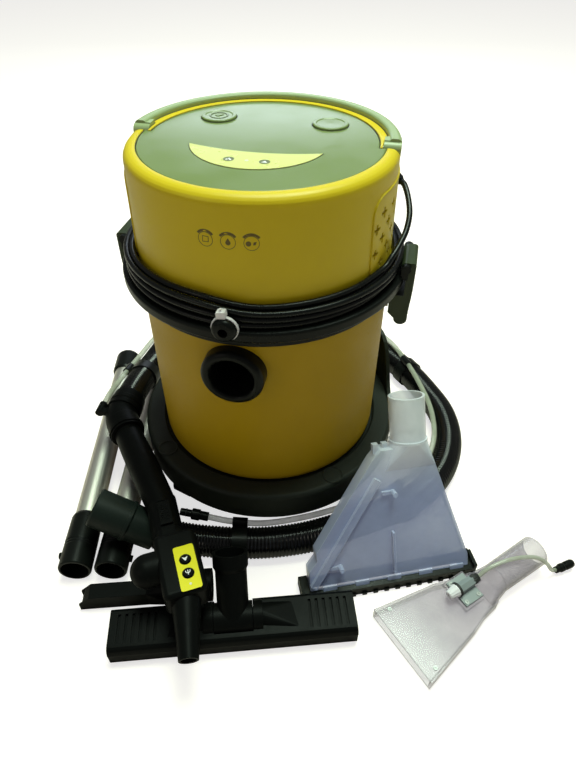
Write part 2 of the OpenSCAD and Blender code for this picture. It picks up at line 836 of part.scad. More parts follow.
// Frame at the hose end of the elbow: +Z along the hose, +X up
module hose_end_frame() {
    gun_frame() translate([-elbow_run - elbow_r * sin(elbow_turn), elbow_r * (1 - cos(elbow_turn)), 0])
        rotate([0, -90, -elbow_turn]) children();
}

module gun_body() {
    color("#191b1a") difference() {
        union() {
            // grip, swelling a little in the hand
            gun_frame() rotate([0, 90, 0]) rotate_extrude() polygon(concat(
                [[0, 0], [grip_r + 2.5, 0], [grip_r + 2.5, 4]],
                [for (i = [0:6]) [throat_r + 1.4 * sin(180 * i / 6), 5 + (grip_len - 5) * i / 6]],
                [[0, grip_len]]
            ));
            // elbow towards the hose, with the barb of the water tube on its outer side
            gun_frame() rotate([0, -90, 0]) cylinder(r = 25, h = 5);
            gun_frame() rotate([0, -90, 0]) cylinder(r = 23.6, h = elbow_run + 0.1);
            gun_frame() translate([-elbow_run, elbow_r, 0]) rotate([0, 0, -90])
                rotate_extrude(angle = -elbow_turn, $fn = 96) translate([elbow_r, 0]) circle(r = 23);
            hose_end_frame() translate([8, -30, -14]) cylinder(r = 6, h = 20);
            hose_end_frame() translate([4, -30, -14]) cube([8, 20, 9]);
            // throat under the slider
            block_frame() translate([-8, 0, 0]) rotate([0, 90, 0]) cylinder(r = throat_r, h = 62);
            // switch block
            block_frame() hull() for (x = [60, 130], y = [-12, 24], z = [-12, 13])
                translate([x, y, z]) sphere(r = 7, $fn = 24);
            block_frame() hull() {
                translate([42, 0, 0]) rotate([0, 90, 0]) cylinder(r = 18, h = 1, $fn = 32);
                for (y = [-12, 24], z = [-12, 13]) translate([68, y, z]) sphere(r = 7, $fn = 24);
            }
            // valve bulge on the side
            block_frame() translate([84, -31, -1]) sphere(r = 20);
            block_frame() translate([84, -14, -1]) rotate([90, 0, 0]) cylinder(r = 20, h = 17);
            // tapered outlet
            outlet_frame() rotate([0, 90, 0]) cylinder(r1 = 17, r2 = 13.4, h = 34);
            outlet_frame() translate([34, 0, 0]) rotate([0, 90, 0]) cylinder(r1 = 13.4, r2 = 11, h = 30);
        }
        outlet_frame() translate([20, 0, 0]) rotate([0, 90, 0]) cylinder(r = 8.5, h = 60);
        // recess of the air slider
        block_frame() translate([5, -5.6, 16.2]) cube([50, 15.2, 10]);
        for (x = gun_button_x) block_frame() translate([x, 13, 12]) cylinder(r = gun_button_r + gap, h = 20);
    }
}

gun_button_x = [96, 114];
gun_button_r = 6;

// Collar that lets the hose turn on the gun
module swivel_collar() {
    color("#161817") hose_end_frame() translate([0, 0, 0.4]) difference() {
        rotate_extrude() polygon([
            [0, 0], [24, 0], [25, 1], [25, 7], [24, 8],
            [24, 10], [25, 11], [25, 17], [24, 18], [23.4, 30], [0, 30]
        ]);
        translate([0, 0, 6]) cylinder(r = hose_r + 0.6, h = 40);
    }
}

module gun_button(x) {
    color("#0d0d0d") block_frame() translate([x, 13, 0]) rotate_extrude() polygon([
        [0, 14.5], [gun_button_r, 14.5], [gun_button_r, 21.6], [gun_button_r - 0.8, 22.4], [0, 22]
    ]);
}

module gun_vacuum_button() { gun_button(gun_button_x[0]); }
module gun_water_button() { gun_button(gun_button_x[1]); }

module air_slider() {
    color("#2b2c33") block_frame() translate([7, 2, 16.6]) difference() {
        translate([0, -7.2, 0]) cube([34, 14.4, 3.4]);
        for (x = [6:3:27]) translate([x, -5, 2.6]) cube([1.3, 10, 2]);
    }
}

// --- extension tubes and crevice tool --------------------------------------

module tube_frame(at, turn) {
    translate([at[0], at[1], 21]) rotate([0, 90, turn]) children();
}

// The ends are turned down where they sit in the sleeves
tube_end_r = tube_r - 0.3;

module extension_tube(at, turn) {
    color("#c9ccca") tube_frame(at, turn) difference() {
        union() {
            translate([0, 0, 44]) cylinder(r = tube_end_r, h = tube_len - 60);
            translate([0, 0, 80.05]) cylinder(r = tube_r, h = tube_len - 128.1);
        }
        translate([0, 0, 44 - over]) cylinder(r = tube_r - 1.2, h = tube_len);
    }
}

module tube_sleeves(at, turn, roll) {
    color("#151716") tube_frame(at, turn) {
        // front sleeve with its open socket and lock nub
        difference() {
            union() {
                rotate_extrude() polygon([
                    [0, 0], [20, 0], [21, 2], [21, 30], [20.2, 32], [21, 34], [20.2, 36], [21, 38],
                    [20.5, 76], [19, 80], [0, 80]
                ]);
                rotate([0, 0, roll]) translate([0, 20, 22]) rotate([-90, 0, 0]) cylinder(r = 4.5, h = 4);
            }
            translate([0, 0, -over]) cylinder(r = tube_r + 0.1, h = 43 + over);
            translate([0, 0, 42]) cylinder(r = tube_end_r + 0.02, h = 60);
        }
        // rear sleeve with a rounded end
        translate([0, 0, tube_len]) rotate([180, 0, 0]) difference() {
            rotate_extrude() polygon(concat(
                [[0, 0]],
                arc([13, 8], 8, -90, 0, 4),
                [[21, 44], [19, 48], [0, 48]]
            ));
            translate([0, 0, -over]) cylinder(r = tube_r - 1.4, h = 60);
            translate([0, 0, 15.8]) cylinder(r = tube_end_r + 0.02, h = 60);
        }
    }
}

module left_tube() { extension_tube(left_tube_at, left_tube_turn); }
module left_tube_sleeves() { tube_sleeves(left_tube_at, left_tube_turn, 0); }
module right_tube() { extension_tube(right_tube_at, right_tube_turn); }
module right_tube_sleeves() { tube_sleeves(right_tube_at, right_tube_turn, 200); }

// Flat blade with a slanted tip, and a round socket
module crevice_tool() {
    module blade(shrink) {
        translate([0, 10 - shrink, 0]) rotate([90, 0, 0]) linear_extrude(20 - 2 * shrink)
            polygon([
                [-over * shrink, shrink], [112, shrink], [112, 25 - shrink],
                [14, 25 - shrink], [-over * shrink, 12]
            ]);
    }
    color("#151716") spot(crevice_at, crevice_turn) difference() {
        union() {
            blade(0);
            hull() {
                translate([84, -10, 0.2]) cube([2, 20, 24.8]);
                translate([108, 0, 20]) rotate([0, 90, 0]) cylinder(r = 20, h = 1, $fn = 32);
            }
            translate([108, 0, 20]) rotate([0, 90, 0]) cylinder(r = 20, h = 57);
        }
        blade(2);
        translate([116, 0, 20]) rotate([0, 90, 0]) cylinder(r = tube_r + 0.1, h = 60);
    }
}

// --- floor nozzle ----------------------------------------------------------

neck_axis = [4, 27];
trunnion_r = 19;

module floor_nozzle() {
    half = nozzle_w / 2;
    side = concat(
        arc([-20, 6], 6, 180, 270, 3), arc([22, 4], 4, 270, 360, 3),
        arc([20, 28], 6, 0, 80, 3), arc([-18, 24], 8, 90, 170, 4), [[-26.8, 22], [-26, 20.5]]
    );
    color("#101211") spot(nozzle_at, nozzle_turn) difference() {
        union() {
            translate([-half, 0, 0]) rotate([90, 0, 90]) linear_extrude(nozzle_w) polygon(side);
            // cheeks that carry the neck
            for (sx = [-1, 1]) translate([sx * 29, neck_axis[0], neck_axis[1]]) rotate([0, 90, 0])
                cylinder(r = 19, h = 11, center = true);
            // fairing that spreads the cheeks into the body
            for (sx = [-1, 1]) hull() {
                translate([sx * 34, neck_axis[0], neck_axis[1]]) rotate([0, 90, 0])
                    cylinder(r = 15, h = 1, center = true, $fn = 32);
                translate([sx * 80 - 1, -16, 22]) cube([2, 34, 9]);
            }
        }
        // ribbed treads at both ends
        for (sx = [-1, 1], i = [0:5]) translate([sx * (half - 11 - 8.6 * i) - 1.6, -17, 30.6])
            cube([3.2, 34, 10]);
        // suction slot underneath and the way up to the neck
        translate([-half + 14, -9, -over]) cube([nozzle_w - 28, 16, 17]);
        translate([0, -1, 8]) cylinder(r = 13, h = 14);
        // room for the neck to turn
        translate([0, neck_axis[0], neck_axis[1]]) rotate([0, 90, 0])
            cylinder(r = trunnion_r + 1.5, h = 46.4, center = true);
        translate([-23.2, neck_axis[0], 9]) cube([46.4, 40, 60]);
        translate([0, neck_axis[0], neck_axis[1]]) rotate([0, 90, 0])
            cylinder(r = 4 + running, h = 64, center = true);
    }
}

module floor_nozzle_neck() {
    color("#121413") spot(nozzle_at, nozzle_turn) translate([0, neck_axis[0], neck_axis[1]]) difference() {
        union() {
            rotate([0, 90, 0]) cylinder(r = trunnion_r, h = 45.6, center = true);
            rotate([0, 90, 0]) cylinder(r = 4, h = 62, center = true);
            rotate([-nozzle_tilt, 0, 0]) {
                cylinder(r = trunnion_r - 0.2, h = 62);
                translate([0, 0, 60]) cylinder(r1 = trunnion_r, r2 = 21, h = 4);
                translate([0, 0, 64]) cylinder(r = 21, h = 16);
            }
        }
        rotate([-nozzle_tilt, 0, 0]) translate([0, 0, 36]) cylinder(r = tube_r + 0.1, h = 60);
        rotate([-nozzle_tilt, 0, 0]) cylinder(r = 13, h = 60);
        rotate([180 - nozzle_tilt, 0, 0]) cylinder(r = 13, h = 30);
    }
}

// --- clear nozzles ---------------------------------------------------------

carpet_neck = [146, 240];
carpet_neck_r = 22;

// Frame in the leaning plane of the carpet nozzle: x along the foot, z up the plane
module carpet_frame() {
    spot(carpet_at, carpet_turn) translate([0, 0, 6]) rotate([-carpet_lean, 0, 0]) children();
}

module fan_plate(shrink, depth) {
    translate([0, depth / 2, 0]) rotate([90, 0, 0]) linear_extrude(depth) offset(delta = -shrink)
        polygon([
            [8, -20], [8, 30], [19, 43], [19, 54], [96, 166], [108, 178],
            [168, 178], [217, 20], [217, -20]
        ]);
}

module carpet_nozzle() {
    depth = 22;
    skin = 2.2;
    module flare(shrink) {
        hull() {
            translate([carpet_neck[0], 0, 186]) cylinder(r = carpet_neck_r - shrink, h = 1, $fn = 32);
            translate([112 + shrink, -depth / 2 + shrink, 150])
                cube([64 - 2 * shrink, depth - 2 * shrink, 1]);
        }
    }
    color("#c9d3dc") carpet_frame() difference() {
        union() {
            intersection() {
                fan_plate(0, depth);
                translate([-10, -50, 4]) cube([250, 100, 300]);
            }
            flare(0);
            translate([carpet_neck[0], 0, 185]) cylinder(r = carpet_neck_r, h = carpet_neck[1] - 185);
            translate([carpet_neck[0], 0, 183]) cylinder(r = carpet_neck_r + 1.6, h = 3);
            // raised feed channel down the left edge, with pegs and a fin on the front
            translate([8, -depth / 2 - 5, 12]) rotate([0, 34, 0]) cube([9, 6, 160]);
            for (p = [[120, 123], [48, 32]]) translate([p[0], -depth / 2 + 1, p[1]]) rotate([90, 0, 0]) {
                cylinder(r = 3, h = 13);
                translate([-14, -2, 0]) cube([14, 4, 4]);
            }
            translate([116, -depth / 2 - 7, 14]) cube([3, 8, 56]);
            // lugs at the shoulder
            for (x = [100, 112]) translate([x, -4, 172]) cube([7, 8, 12]);
            // tabs that clip into the foot
            for (x = [24:42:192]) translate([x, -depth / 2 - 2, -1]) cube([18, 3, 9]);
        }
        fan_plate(skin, depth - 2 * skin);
        flare(skin);
        translate([carpet_neck[0], 0, 184]) cylinder(r = carpet_neck_r - skin - 0.6, h = 120);
    }
}

module carpet_nozzle_foot() {
    color("#121413") difference() {
        spot(carpet_at, carpet_turn) union() {
            translate([-4, -15, 0]) cube([230, 30, 15]);
            for (sx = [-4, 222]) translate([sx, -15, 10]) cube([4, 24, 12]);
            for (i = [0:15]) translate([i * 14.6 + 1, -17, 0]) cube([6, 3, 5]);
        }
        carpet_frame() {
            translate([7.4, -11.6, 3.4]) cube([210.2, 23.2, 60]);
            for (x = [24:42:192]) translate([x - 0.4, -14, -1.4]) cube([18.8, 6, 30]);
            translate([14, -7, -30]) cube([196, 14, 60]);
        }
    }
}

module upholstery_frame() {
    spot(upholstery_at, upholstery_turn) children();
}

module upholstery_nozzle() {
    skin = 2;
    module fan(shrink) {
        translate([0, 0, shrink]) linear_extrude(18 - 2 * shrink) offset(delta = -shrink) polygon([
            [-3 * shrink, -51], [88, -34], [112, -27], [136, -24],
            [136, 24], [112, 28], [85, 37], [-3 * shrink, 51]
        ]);
    }
    module neck_flare(shrink) {
        hull() {
            translate([118, -24 + shrink, shrink]) cube([4, 48 - 2 * shrink, 18 - 2 * shrink]);
            translate([154, 0, 20]) rotate([0, 90, 0]) cylinder(r = 19 - shrink, h = 1, $fn = 32);
        }
    }
    color("#d9dce2") upholstery_frame() difference() {
        union() {
            fan(0);
            neck_flare(0);
            translate([154, 0, 20]) rotate([0, 90, 0]) cylinder(r1 = 19, r2 = 20, h = 74);
            // raised seat of the spray valve
            translate([92, -12, 17]) cube([34, 42, 4]);
        }
        fan(skin);
        neck_flare(skin);
        translate([154, 0, 20]) rotate([0, 90, 0]) cylinder(r = 17.6, h = 100);
    }
}

module spray_valve() {
    upholstery_frame() {
        color("#9aa3a3") difference() {
            translate([95, -9, 21]) cube([28, 36, 3]);
            for (p = [[99, 23], [99, -5], [119, -5]]) translate([p[0], p[1], 18]) cylinder(r = 1.6, h = 10);
        }
        color("#7d8a8c") translate([100, 11, 29]) rotate([0, 90, 0]) cylinder(r = 7, h = 22, $fn = 6);
        color("#f2f2ef") translate([84, 12, 29]) rotate([0, 90, 0]) cylinder(r1 = 4.5, r2 = 7.4, h = 16);
        color("#141414") difference() {
            translate([121, 11.5, 29]) rotate([0, 80, -8]) cylinder(r = 5, h = 10);
            swept_tube(spray_route, 2.75, 8);
        }
    }
}

module spray_tube() {
    color("#d5d9cf") upholstery_frame() swept_tube(spray_route, 2.6, 8);
}

module quick_connector() {
    p = spray_route[len(spray_route) - 1];
    color("#101010") upholstery_frame() difference() {
        translate(p) rotate([0, 90, -10]) translate([0, 0, -2]) difference() {
            rotate_extrude() polygon([
                [0, 0], [4.4, 0], [4.4, 6], [5.6, 7], [5.6, 12], [4.6, 13], [4.6, 15], [5.6, 16],
                [5.6, 25], [4.6, 28], [0, 28]
            ]);
            translate([0, 0, 14]) cylinder(r = 3, h = 20);
        }
        swept_tube(spray_route, 2.75, 8);
    }
}

tank();
base_ring();
suction_inlet();
clean_water_container();
head_shell();
vent_grilles();
clamp_band();
seals();
top_panel();
crescent_panel();
motor_plate();
motor();
fan_cover();
fan_rotor();
float_cage();
float_ball();
foam_filter();
water_pump();
control_board();
pivot_pins();
water_outlet();
power_button();
pump_button();
carry_handle();
latch_left();
latch_right();
cord_gland();
power_cord_winding();
power_cord_ends();
power_plug();
caster_fork_front_left();
caster_fork_front_right();
caster_fork_rear_left();
caster_fork_rear_right();
caster_wheels_front_left();
caster_wheels_front_right();
caster_wheels_rear_left();
caster_wheels_rear_right();
suction_hose();
hose_cuff();
water_tube();
hose_fittings();
gun_body();
swivel_collar();
gun_vacuum_button();
gun_water_button();
air_slider();
left_tube();
left_tube_sleeves();
right_tube();
right_tube_sleeves();
crevice_tool();
floor_nozzle();
floor_nozzle_neck();
carpet_nozzle();
carpet_nozzle_foot();
upholstery_nozzle();
spray_valve();
spray_tube();
quick_connector();
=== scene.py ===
# %% [markdown]
# Drum carpet cleaner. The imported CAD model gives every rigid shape.

from math import asin, atan2, cos, degrees, radians, sin, sqrt, tau

import bmesh
import bpy
from mathutils import Matrix, Vector
from mathutils.geometry import tessellate_polygon


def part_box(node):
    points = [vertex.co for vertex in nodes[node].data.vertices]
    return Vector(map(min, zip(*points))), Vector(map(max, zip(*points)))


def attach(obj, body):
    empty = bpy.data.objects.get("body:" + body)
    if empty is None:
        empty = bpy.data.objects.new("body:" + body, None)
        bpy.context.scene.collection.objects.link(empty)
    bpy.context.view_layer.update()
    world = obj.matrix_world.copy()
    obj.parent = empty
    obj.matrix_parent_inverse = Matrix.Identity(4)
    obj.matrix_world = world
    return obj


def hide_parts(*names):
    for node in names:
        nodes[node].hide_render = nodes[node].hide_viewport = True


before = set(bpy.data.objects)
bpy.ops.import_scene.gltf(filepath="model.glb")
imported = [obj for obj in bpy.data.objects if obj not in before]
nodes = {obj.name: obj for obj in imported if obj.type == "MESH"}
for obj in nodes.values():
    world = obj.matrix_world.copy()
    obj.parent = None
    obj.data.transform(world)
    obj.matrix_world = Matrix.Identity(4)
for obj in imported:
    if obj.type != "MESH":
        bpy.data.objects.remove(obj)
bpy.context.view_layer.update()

# %% [markdown]
# The camera comes first, since everything is judged through it. It stands about 0.8 m away and
# 0.7 m up, a little to the right of the machine, looking down at 42 degrees. A 27.5 mm lens is
# wide, which is why the drum narrows towards the floor.

# %% Camera
def add_object(name, data):
    """An object in the scene."""
    added = bpy.data.objects.new(name, data)
    bpy.context.scene.collection.objects.link(added)
    return added


camera_data = bpy.data.cameras.new("camera")
camera_data.lens = 27.5
camera_data.sensor_width = 36
camera = add_object("camera", camera_data)
camera.location = (0.1576, -0.6116, 0.701)
camera.rotation_euler = Vector((-0.154, 0.726, -0.670)).to_track_quat("-Z", "Y").to_euler()
bpy.context.scene.camera = camera
print("camera pitch", round(degrees(camera.rotation_euler.x) - 90, 1), "degrees")

# %% [markdown]
# All new pieces are made from lists of points and faces, and one helper turns such a list into an
# object that rides on a CAD body. Drawings are in millimetres, and a placing function puts each of
# their points on the object. The simplest one works in a frame, given as a matrix. Where a piece
# sits on a CAD node, its place is read from that node's box.

# %% Piece helpers
MM = 0.001


def mm(*point):
    """A point given in millimetres, as the CAD source writes it."""
    return Vector(point) * MM


def placed(x, y, z, turn=0, axis="Z"):
    """A frame: its corner in millimetres and its turn in degrees."""
    return Matrix.Translation(mm(x, y, z)) @ Matrix.Rotation(radians(turn), 4, axis)


def in_frame(matrix):
    """A placing function for drawings that lie in a frame."""
    return lambda x, y, z: matrix @ mm(x, y, z)


def middle(node):
    """The middle of a CAD node, in millimetres."""
    low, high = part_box(node)
    return (low + high) / 2 / MM


def top(node):
    """The height of a CAD node's highest point, in millimetres."""
    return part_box(node)[1].z / MM


def add_piece(name, points, faces, body, slot, smooth=True):
    """An object with normals outwards that rides on a body. Smooth shading suits round shapes."""
    mesh = bpy.data.meshes.new(name)
    mesh.from_pydata([tuple(p) for p in points], [], faces)
    mesh.validate()
    shell = bmesh.new()
    shell.from_mesh(mesh)
    bmesh.ops.recalc_face_normals(shell, faces=shell.faces)
    shell.to_mesh(mesh)
    shell.free()
    mesh.polygons.foreach_set("use_smooth", [smooth] * len(mesh.polygons))
    piece = add_object(name, mesh)
    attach(piece, body)
    return piece


print("piece helpers ready")

# %% [markdown]
# Hoses and cords are round sections carried along a line. One helper draws a smooth line through a
# few points and cuts it into equal steps, another sweeps the section along it. The section's
# radius may change with distance and angle, so the same helper makes a plain cord and a ribbed hose.

# %% Line helpers
def line_length(line):
    return sum((b - a).length for a, b in zip(line, line[1:]))


def equal_steps(line, step):
    """The same line, cut again into steps of one length."""
    count = max(2, round(line_length(line) / step))
    step = line_length(line) / count
    cut, walked = [line[0].copy()], 0.0
    for a, b in zip(line, line[1:]):
        side = (b - a).length
        while len(cut) < count and walked + side >= step * len(cut):
            cut.append(a.lerp(b, (step * len(cut) - walked) / side))
        walked += side
    return cut + [line[-1].copy()]


def smooth_line(points, step=1.0):
    """A smooth line through points in millimetres, in steps of so many millimetres."""
    knots = [mm(*p) for p in points]
    knots = [2 * knots[0] - knots[1], *knots, 2 * knots[-1] - knots[-2]]
    fine = []
    for a, b, c, d in zip(knots, knots[1:], knots[2:], knots[3:]):
        for k in range(20):
            t = k / 20
            fine.append(0.5 * (2 * b + (c - a) * t + (2 * a - 5 * b + 4 * c - d) * t * t
                               + (3 * b - a - 3 * c + d) * t ** 3))
    return equal_steps(fine + [knots[-2]], step * MM)


def sweep(line, radius, sides):
    """Points and faces of a round section carried along a line. radius(distance, angle) is in metres."""
    points, faces = [], []
    rise = None
    walked = 0.0
    for i, here in enumerate(line):
        ahead = (line[min(i + 1, len(line) - 1)] - line[max(i - 1, 0)]).normalized()
        if rise is None:
            rise = ahead.orthogonal().normalized()
        rise = (rise - ahead * rise.dot(ahead)).normalized()
        side = ahead.cross(rise)
        if i:
            walked += (here - line[i - 1]).length
        for k in range(sides):
            angle = tau * k / sides
            r = radius(walked, angle)
            points.append(here + r * (cos(angle) * rise + sin(angle) * side))
    for i in range(len(line) - 1):
        for k in range(sides):
            a, b = i * sides + k, i * sides + (k + 1) % sides
            faces.append((a, b, b + sides, a + sides))
    last = (len(line) - 1) * sides
    faces.append(tuple(reversed(range(sides))))
    faces.append(tuple(range(last, last + sides)))
    return points, faces


def even(radius):
    """The section of a plain cord: one radius everywhere."""
    return lambda walked, angle: radius


print("line helpers ready")

# %% [markdown]
# The suction hose is a black corrugated hose of 42 mm. It leaves the collar of the spray gun,
# runs round the back of the drum and comes back along the front to its cuff. Its ribs wind round
# it like a thread, one every 4.6 mm, and they are real geometry because each rib catches a glint.
# The route repeats the points of the CAD source, so the hose lies where its collision solid is.

# %% Suction hose
HOSE_R = 21 * MM
RIB_PITCH = 4.6 * MM
RIB_DEPTH = 1.9 * MM
hose_line = smooth_line([
    (-209.4, -51.4, 88), (-211.2, -29, 88), (-214, 2, 84), (-218, 40, 74), (-220, 84, 64.5),
    (-216, 130, 63), (-206, 172, 58), (-189, 213, 50), (-160, 251, 39), (-119, 281, 28),
    (-64, 299, 22), (-4, 306, 21), (57, 299, 21), (113, 276, 21), (159, 241, 21), (200, 201, 21),
    (234, 155, 21), (261.6, 106.2, 21), (272.5, 53, 21), (267.2, 0.6, 21), (247.2, -47.2, 21),
    (212.6, -88.7, 21), (169, -120, 21), (126, -149, 21), (86, -171, 21), (44, -187, 21),
    (4, -197, 21), (-36, -205, 24.5), (-66, -212, 32), (-87, -217, 41), (-103.5, -220.3, 48.5),
], 0.92)
for point in hose_line:
    point.z = max(point.z, HOSE_R)


def rib_radius(walked, angle):
    """Radius of the hose: a rounded crest on each rib and a narrow groove between two ribs."""
    turn = walked / RIB_PITCH + angle / tau
    return HOSE_R - RIB_DEPTH * (0.5 - 0.5 * cos(tau * turn)) ** 2


hose = add_piece("corrugated_hose", *sweep(hose_line, rib_radius, 32), "machine", "hose_plastic")
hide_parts("suction_hose")
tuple(hose_line[0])
print(f"hose {line_length(hose_line):.3f} m, {len(hose.data.polygons)} faces")

# %% [markdown]
# Rings, caps and nuts are turned from a profile, as on a lathe, and may have flutes. Several
# shapes can be joined into one piece.

# %% Lathe helpers
def turned(profile, steps, place, flute_depth=0.0):
    """A closed profile of (radius, height) points turned round an axis, with six steps to a flute."""
    points = []
    for k in range(steps):
        a = tau * k / steps
        cut = flute_depth * (0.5 + 0.5 * cos(tau * k / 6))
        for r, z in profile:
            r -= cut * (r > 3)
            points.append(place(r * cos(a), r * sin(a), z))
    count = len(profile)
    faces = [(k * count + i, k * count + (i + 1) % count, (k + 1) % steps * count + (i + 1) % count,
              (k + 1) % steps * count + i) for k in range(steps) for i in range(count)]
    return points, faces


def joined(parts):
    """Several lists of points and faces as one."""
    points, faces = [], []
    for more_points, more_faces in parts:
        faces += [tuple(i + len(points) for i in face) for face in more_faces]
        points += more_points
    return points, faces


print("lathe helpers ready")

# %% [markdown]
# A clear 8 mm tube carries clean water to the gun. It leaves a barb on the gun's elbow and lies on
# the hose, held by five clips, and its free end has a small plug with a rubber ring on it.

# %% Water tube
WATER_R = 4 * MM
water_line = smooth_line([
    (-239.3, -53.8, 96), (-241, -27, 95), (-241, 4, 92), (-244, 42, 82.5), (-245.2, 88, 73.5),
    (-240.5, 136, 72), (-230, 177, 69), (-208.5, 225, 63.5), (-175.5, 266, 54), (-130, 299, 44.5),
    (-70, 318, 39.5), (-5, 325.5, 38.5), (61, 317.5, 39.5), (120, 291.5, 41.5), (164, 247.5, 46.5),
    (196, 196, 47.5), (221.5, 147, 44), (241.5, 98, 39.5), (249.7, 49.3, 35), (245, 5.8, 35),
    (228.4, -35.5, 36.5), (198, -73.5, 39), (158, -104, 40), (116, -134, 41), (73, -157, 41),
    (29, -173.5, 40.5), (-11.5, -180.5, 43), (-44, -184, 49),
], 4)
water_tube = add_piece("clear_water_tube", *sweep(water_line, even(WATER_R), 20), "machine", "clear_tube")
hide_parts("water_tube")
plug_axis = (water_line[-1] - water_line[-2]).normalized()


def ring_about(centre, axis, radius, thickness, around=40, section=12):
    """A round ring, such as an O-ring. Its radius and thickness are in millimetres."""
    seat = Matrix.Translation(centre) @ axis.to_track_quat("Z", "Y").to_matrix().to_4x4()
    turns = [tau * k / section for k in range(section)]
    profile = [(radius + thickness * cos(b), thickness * sin(b)) for b in turns]
    return turned(profile, around, in_frame(seat))


SEAL_FROM_END = 27 * MM
water_seal = add_piece("water_plug_seal",
                       *ring_about(water_line[-1] + plug_axis * SEAL_FROM_END, plug_axis, 4.7, 0.8),
                       "machine", "seal_rubber")
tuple(water_line[0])
print(f"water tube {line_length(water_line):.3f} m")

# %% [markdown]
# The mains lead is wound round the head, on the ledge of the black band. Such a cleaner has a lead
# of 5 to 6 m, which sets the number of turns. It leaves a tapered gland high on the head, drops to
# the ledge and goes round five and a half times: nearly three turns down against the shell, then the
# rest back up outside them. All turns share one gentle unevenness, so they look hand-wound but never
# run into each other.

# %% Mains lead
CORD_R = 3.3 * MM
FIRST_ANGLE = -21.25
LAST_ANGLE = 105 - 6 * 360
INNER_R, OUTER_R = 152.8, 159.5
TOP_Z, BOTTOM_Z, TURN_RISE = 371.5, 352.8, 6.7
SWAP_AT, SWAP_TURNS, OUTER_AT = 2.86, 0.3, 3.1
HEAP_LIFT, HEAP_OUT = 0.42, 0.5


def ease(t):
    t = min(max(t, 0.0), 1.0)
    return t * t * (3 - 2 * t)


def heap(angle):
    """How far the turns are spread upwards: most just left of the front, over the water coupling."""
    off = (angle + 90) % 360
    off = off - 360 if off > 180 else off
    return ease((off + 95) / 70) * ease((11 - off) / 16)


def wound_point(angle):
    """A point of the winding. The angle falls as the cord goes round."""
    turns = (FIRST_ANGLE - angle) / 360
    swap = ease((turns - SWAP_AT) / SWAP_TURNS)
    down = max(TOP_Z - TURN_RISE * turns, BOTTOM_Z)
    up = BOTTOM_Z + TURN_RISE * max(0.0, turns - OUTER_AT)
    radius = INNER_R + (OUTER_R - INNER_R) * swap
    height = down + (up - down) * swap
    height = BOTTOM_Z + (height - BOTTOM_Z) * (1 + HEAP_LIFT * heap(angle))
    radius += HEAP_OUT * heap(angle) * (1 - swap)
    a = radians(angle)
    return (radius * cos(a), radius * sin(a), height)


lead_in = [(148.6, 53, 424), (153, 46, 423.2), (159, 30, 416), (163, 11, 406), (162, -7, 395),
           (157, -24, 386), (151, -39, 379)]
tail_out = [(-19, 160, 370.5), (4, 163.5, 369), (22, 170, 361), (33, 175.5, 347), (37, 177, 330),
            (37, 177, 304)]
wound = [wound_point(FIRST_ANGLE - 20 * k) for k in range(int((FIRST_ANGLE - LAST_ANGLE) / 20) + 1)]
lead_line = smooth_line(lead_in + wound + tail_out, 4)
mains_lead = add_piece("mains_lead", *sweep(lead_line, even(CORD_R), 12), "head", "cord_sheath")
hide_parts("power_cord_winding", "power_cord_ends")
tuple(lead_line[0])
round(line_length(lead_line), 2)
print(f"mains lead {line_length(lead_line):.3f} m")

# %% [markdown]
# The small clear nozzle has its own thin tube, from the spray valve to a ribbed quick connector.
# Its route is written in the nozzle's own frame, so a matrix carries it to its place on the floor.

# %% Spray tube
SPRAY_R = 2.6 * MM
small_nozzle = placed(224, -287, 0, 44.5)
spray_line = [small_nozzle @ p for p in smooth_line([
    (131, 10.2, 30.8), (144, 8.5, 40.5), (166, 3, 45.5), (188, -5, 46), (207, -14, 41), (220, -23, 29),
    (229, -29, 14), (239, -31, 8)], 1.5)]
spray_tube = add_piece("clear_spray_tube", *sweep(spray_line, even(SPRAY_R), 16),
                       "upholstery_nozzle", "clear_tube")
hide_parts("spray_tube")
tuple(spray_line[0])
print(f"spray tube {line_length(spray_line):.3f} m")

# %% [markdown]
# Signs, labels and seams are thin plates cut from an outline. An outline is a list of loops in
# millimetres, the first one outside and the others its holes. A plate is drawn flat, and a
# placing function then puts each of its points on the object, so the same drawing can lie on a
# tilted switch block or bend round the drum.

# %% Plate helpers
def arc_loop(x, y, r, start=0, end=360, count=36):
    """Points of a circle, or of a part of one."""
    last = count if end - start in (360, -360) else count + 1
    return [(x + r * cos(radians(start + (end - start) * k / count)),
             y + r * sin(radians(start + (end - start) * k / count))) for k in range(last)]


def ring_shape(x, y, r0, r1, count=36):
    return [arc_loop(x, y, r1, count=count), arc_loop(x, y, r0, count=count)]


def band_shape(x, y, r0, r1, start, end, count=24):
    """A part of a ring: out along one arc and back along the other."""
    return [arc_loop(x, y, r1, start, end, count) + arc_loop(x, y, r0, end, start, count)]


def rounded_loop(x, y, width, height, r):
    loop = []
    for sx, sy, turn in ((1, 1, 0), (-1, 1, 90), (-1, -1, 180), (1, -1, 270)):
        loop += arc_loop(x + sx * (width / 2 - r), y + sy * (height / 2 - r), r, turn, turn + 90, 5)
    return loop


def plates(shapes, low, high, place):
    """Points and faces of thin plates. place(x, y, z) puts a point of the drawing on the object."""
    points, faces = [], []
    for loops in shapes:
        flat = [p for loop in loops for p in loop]
        first, count = len(points), len(flat)
        points += [place(x, y, low) for x, y in flat] + [place(x, y, high) for x, y in flat]
        for a, b, c in tessellate_polygon([[Vector((*p, 0)) for p in loop] for loop in loops]):
            faces.append((first + a, first + b, first + c))
            faces.append((first + count + c, first + count + b, first + count + a))
        for loop in loops:
            for k in range(len(loop)):
                a, b = first + k, first + (k + 1) % len(loop)
                faces.append((a, b, b + count, a + count))
            first += len(loop)
    return points, faces


def add_plates(name, shapes, low, high, place, body, slot):
    """A flat-shaded piece of thin plates."""
    return add_piece(name, *plates(shapes, low, high, place), body, slot, smooth=False)


print("plate helpers ready")

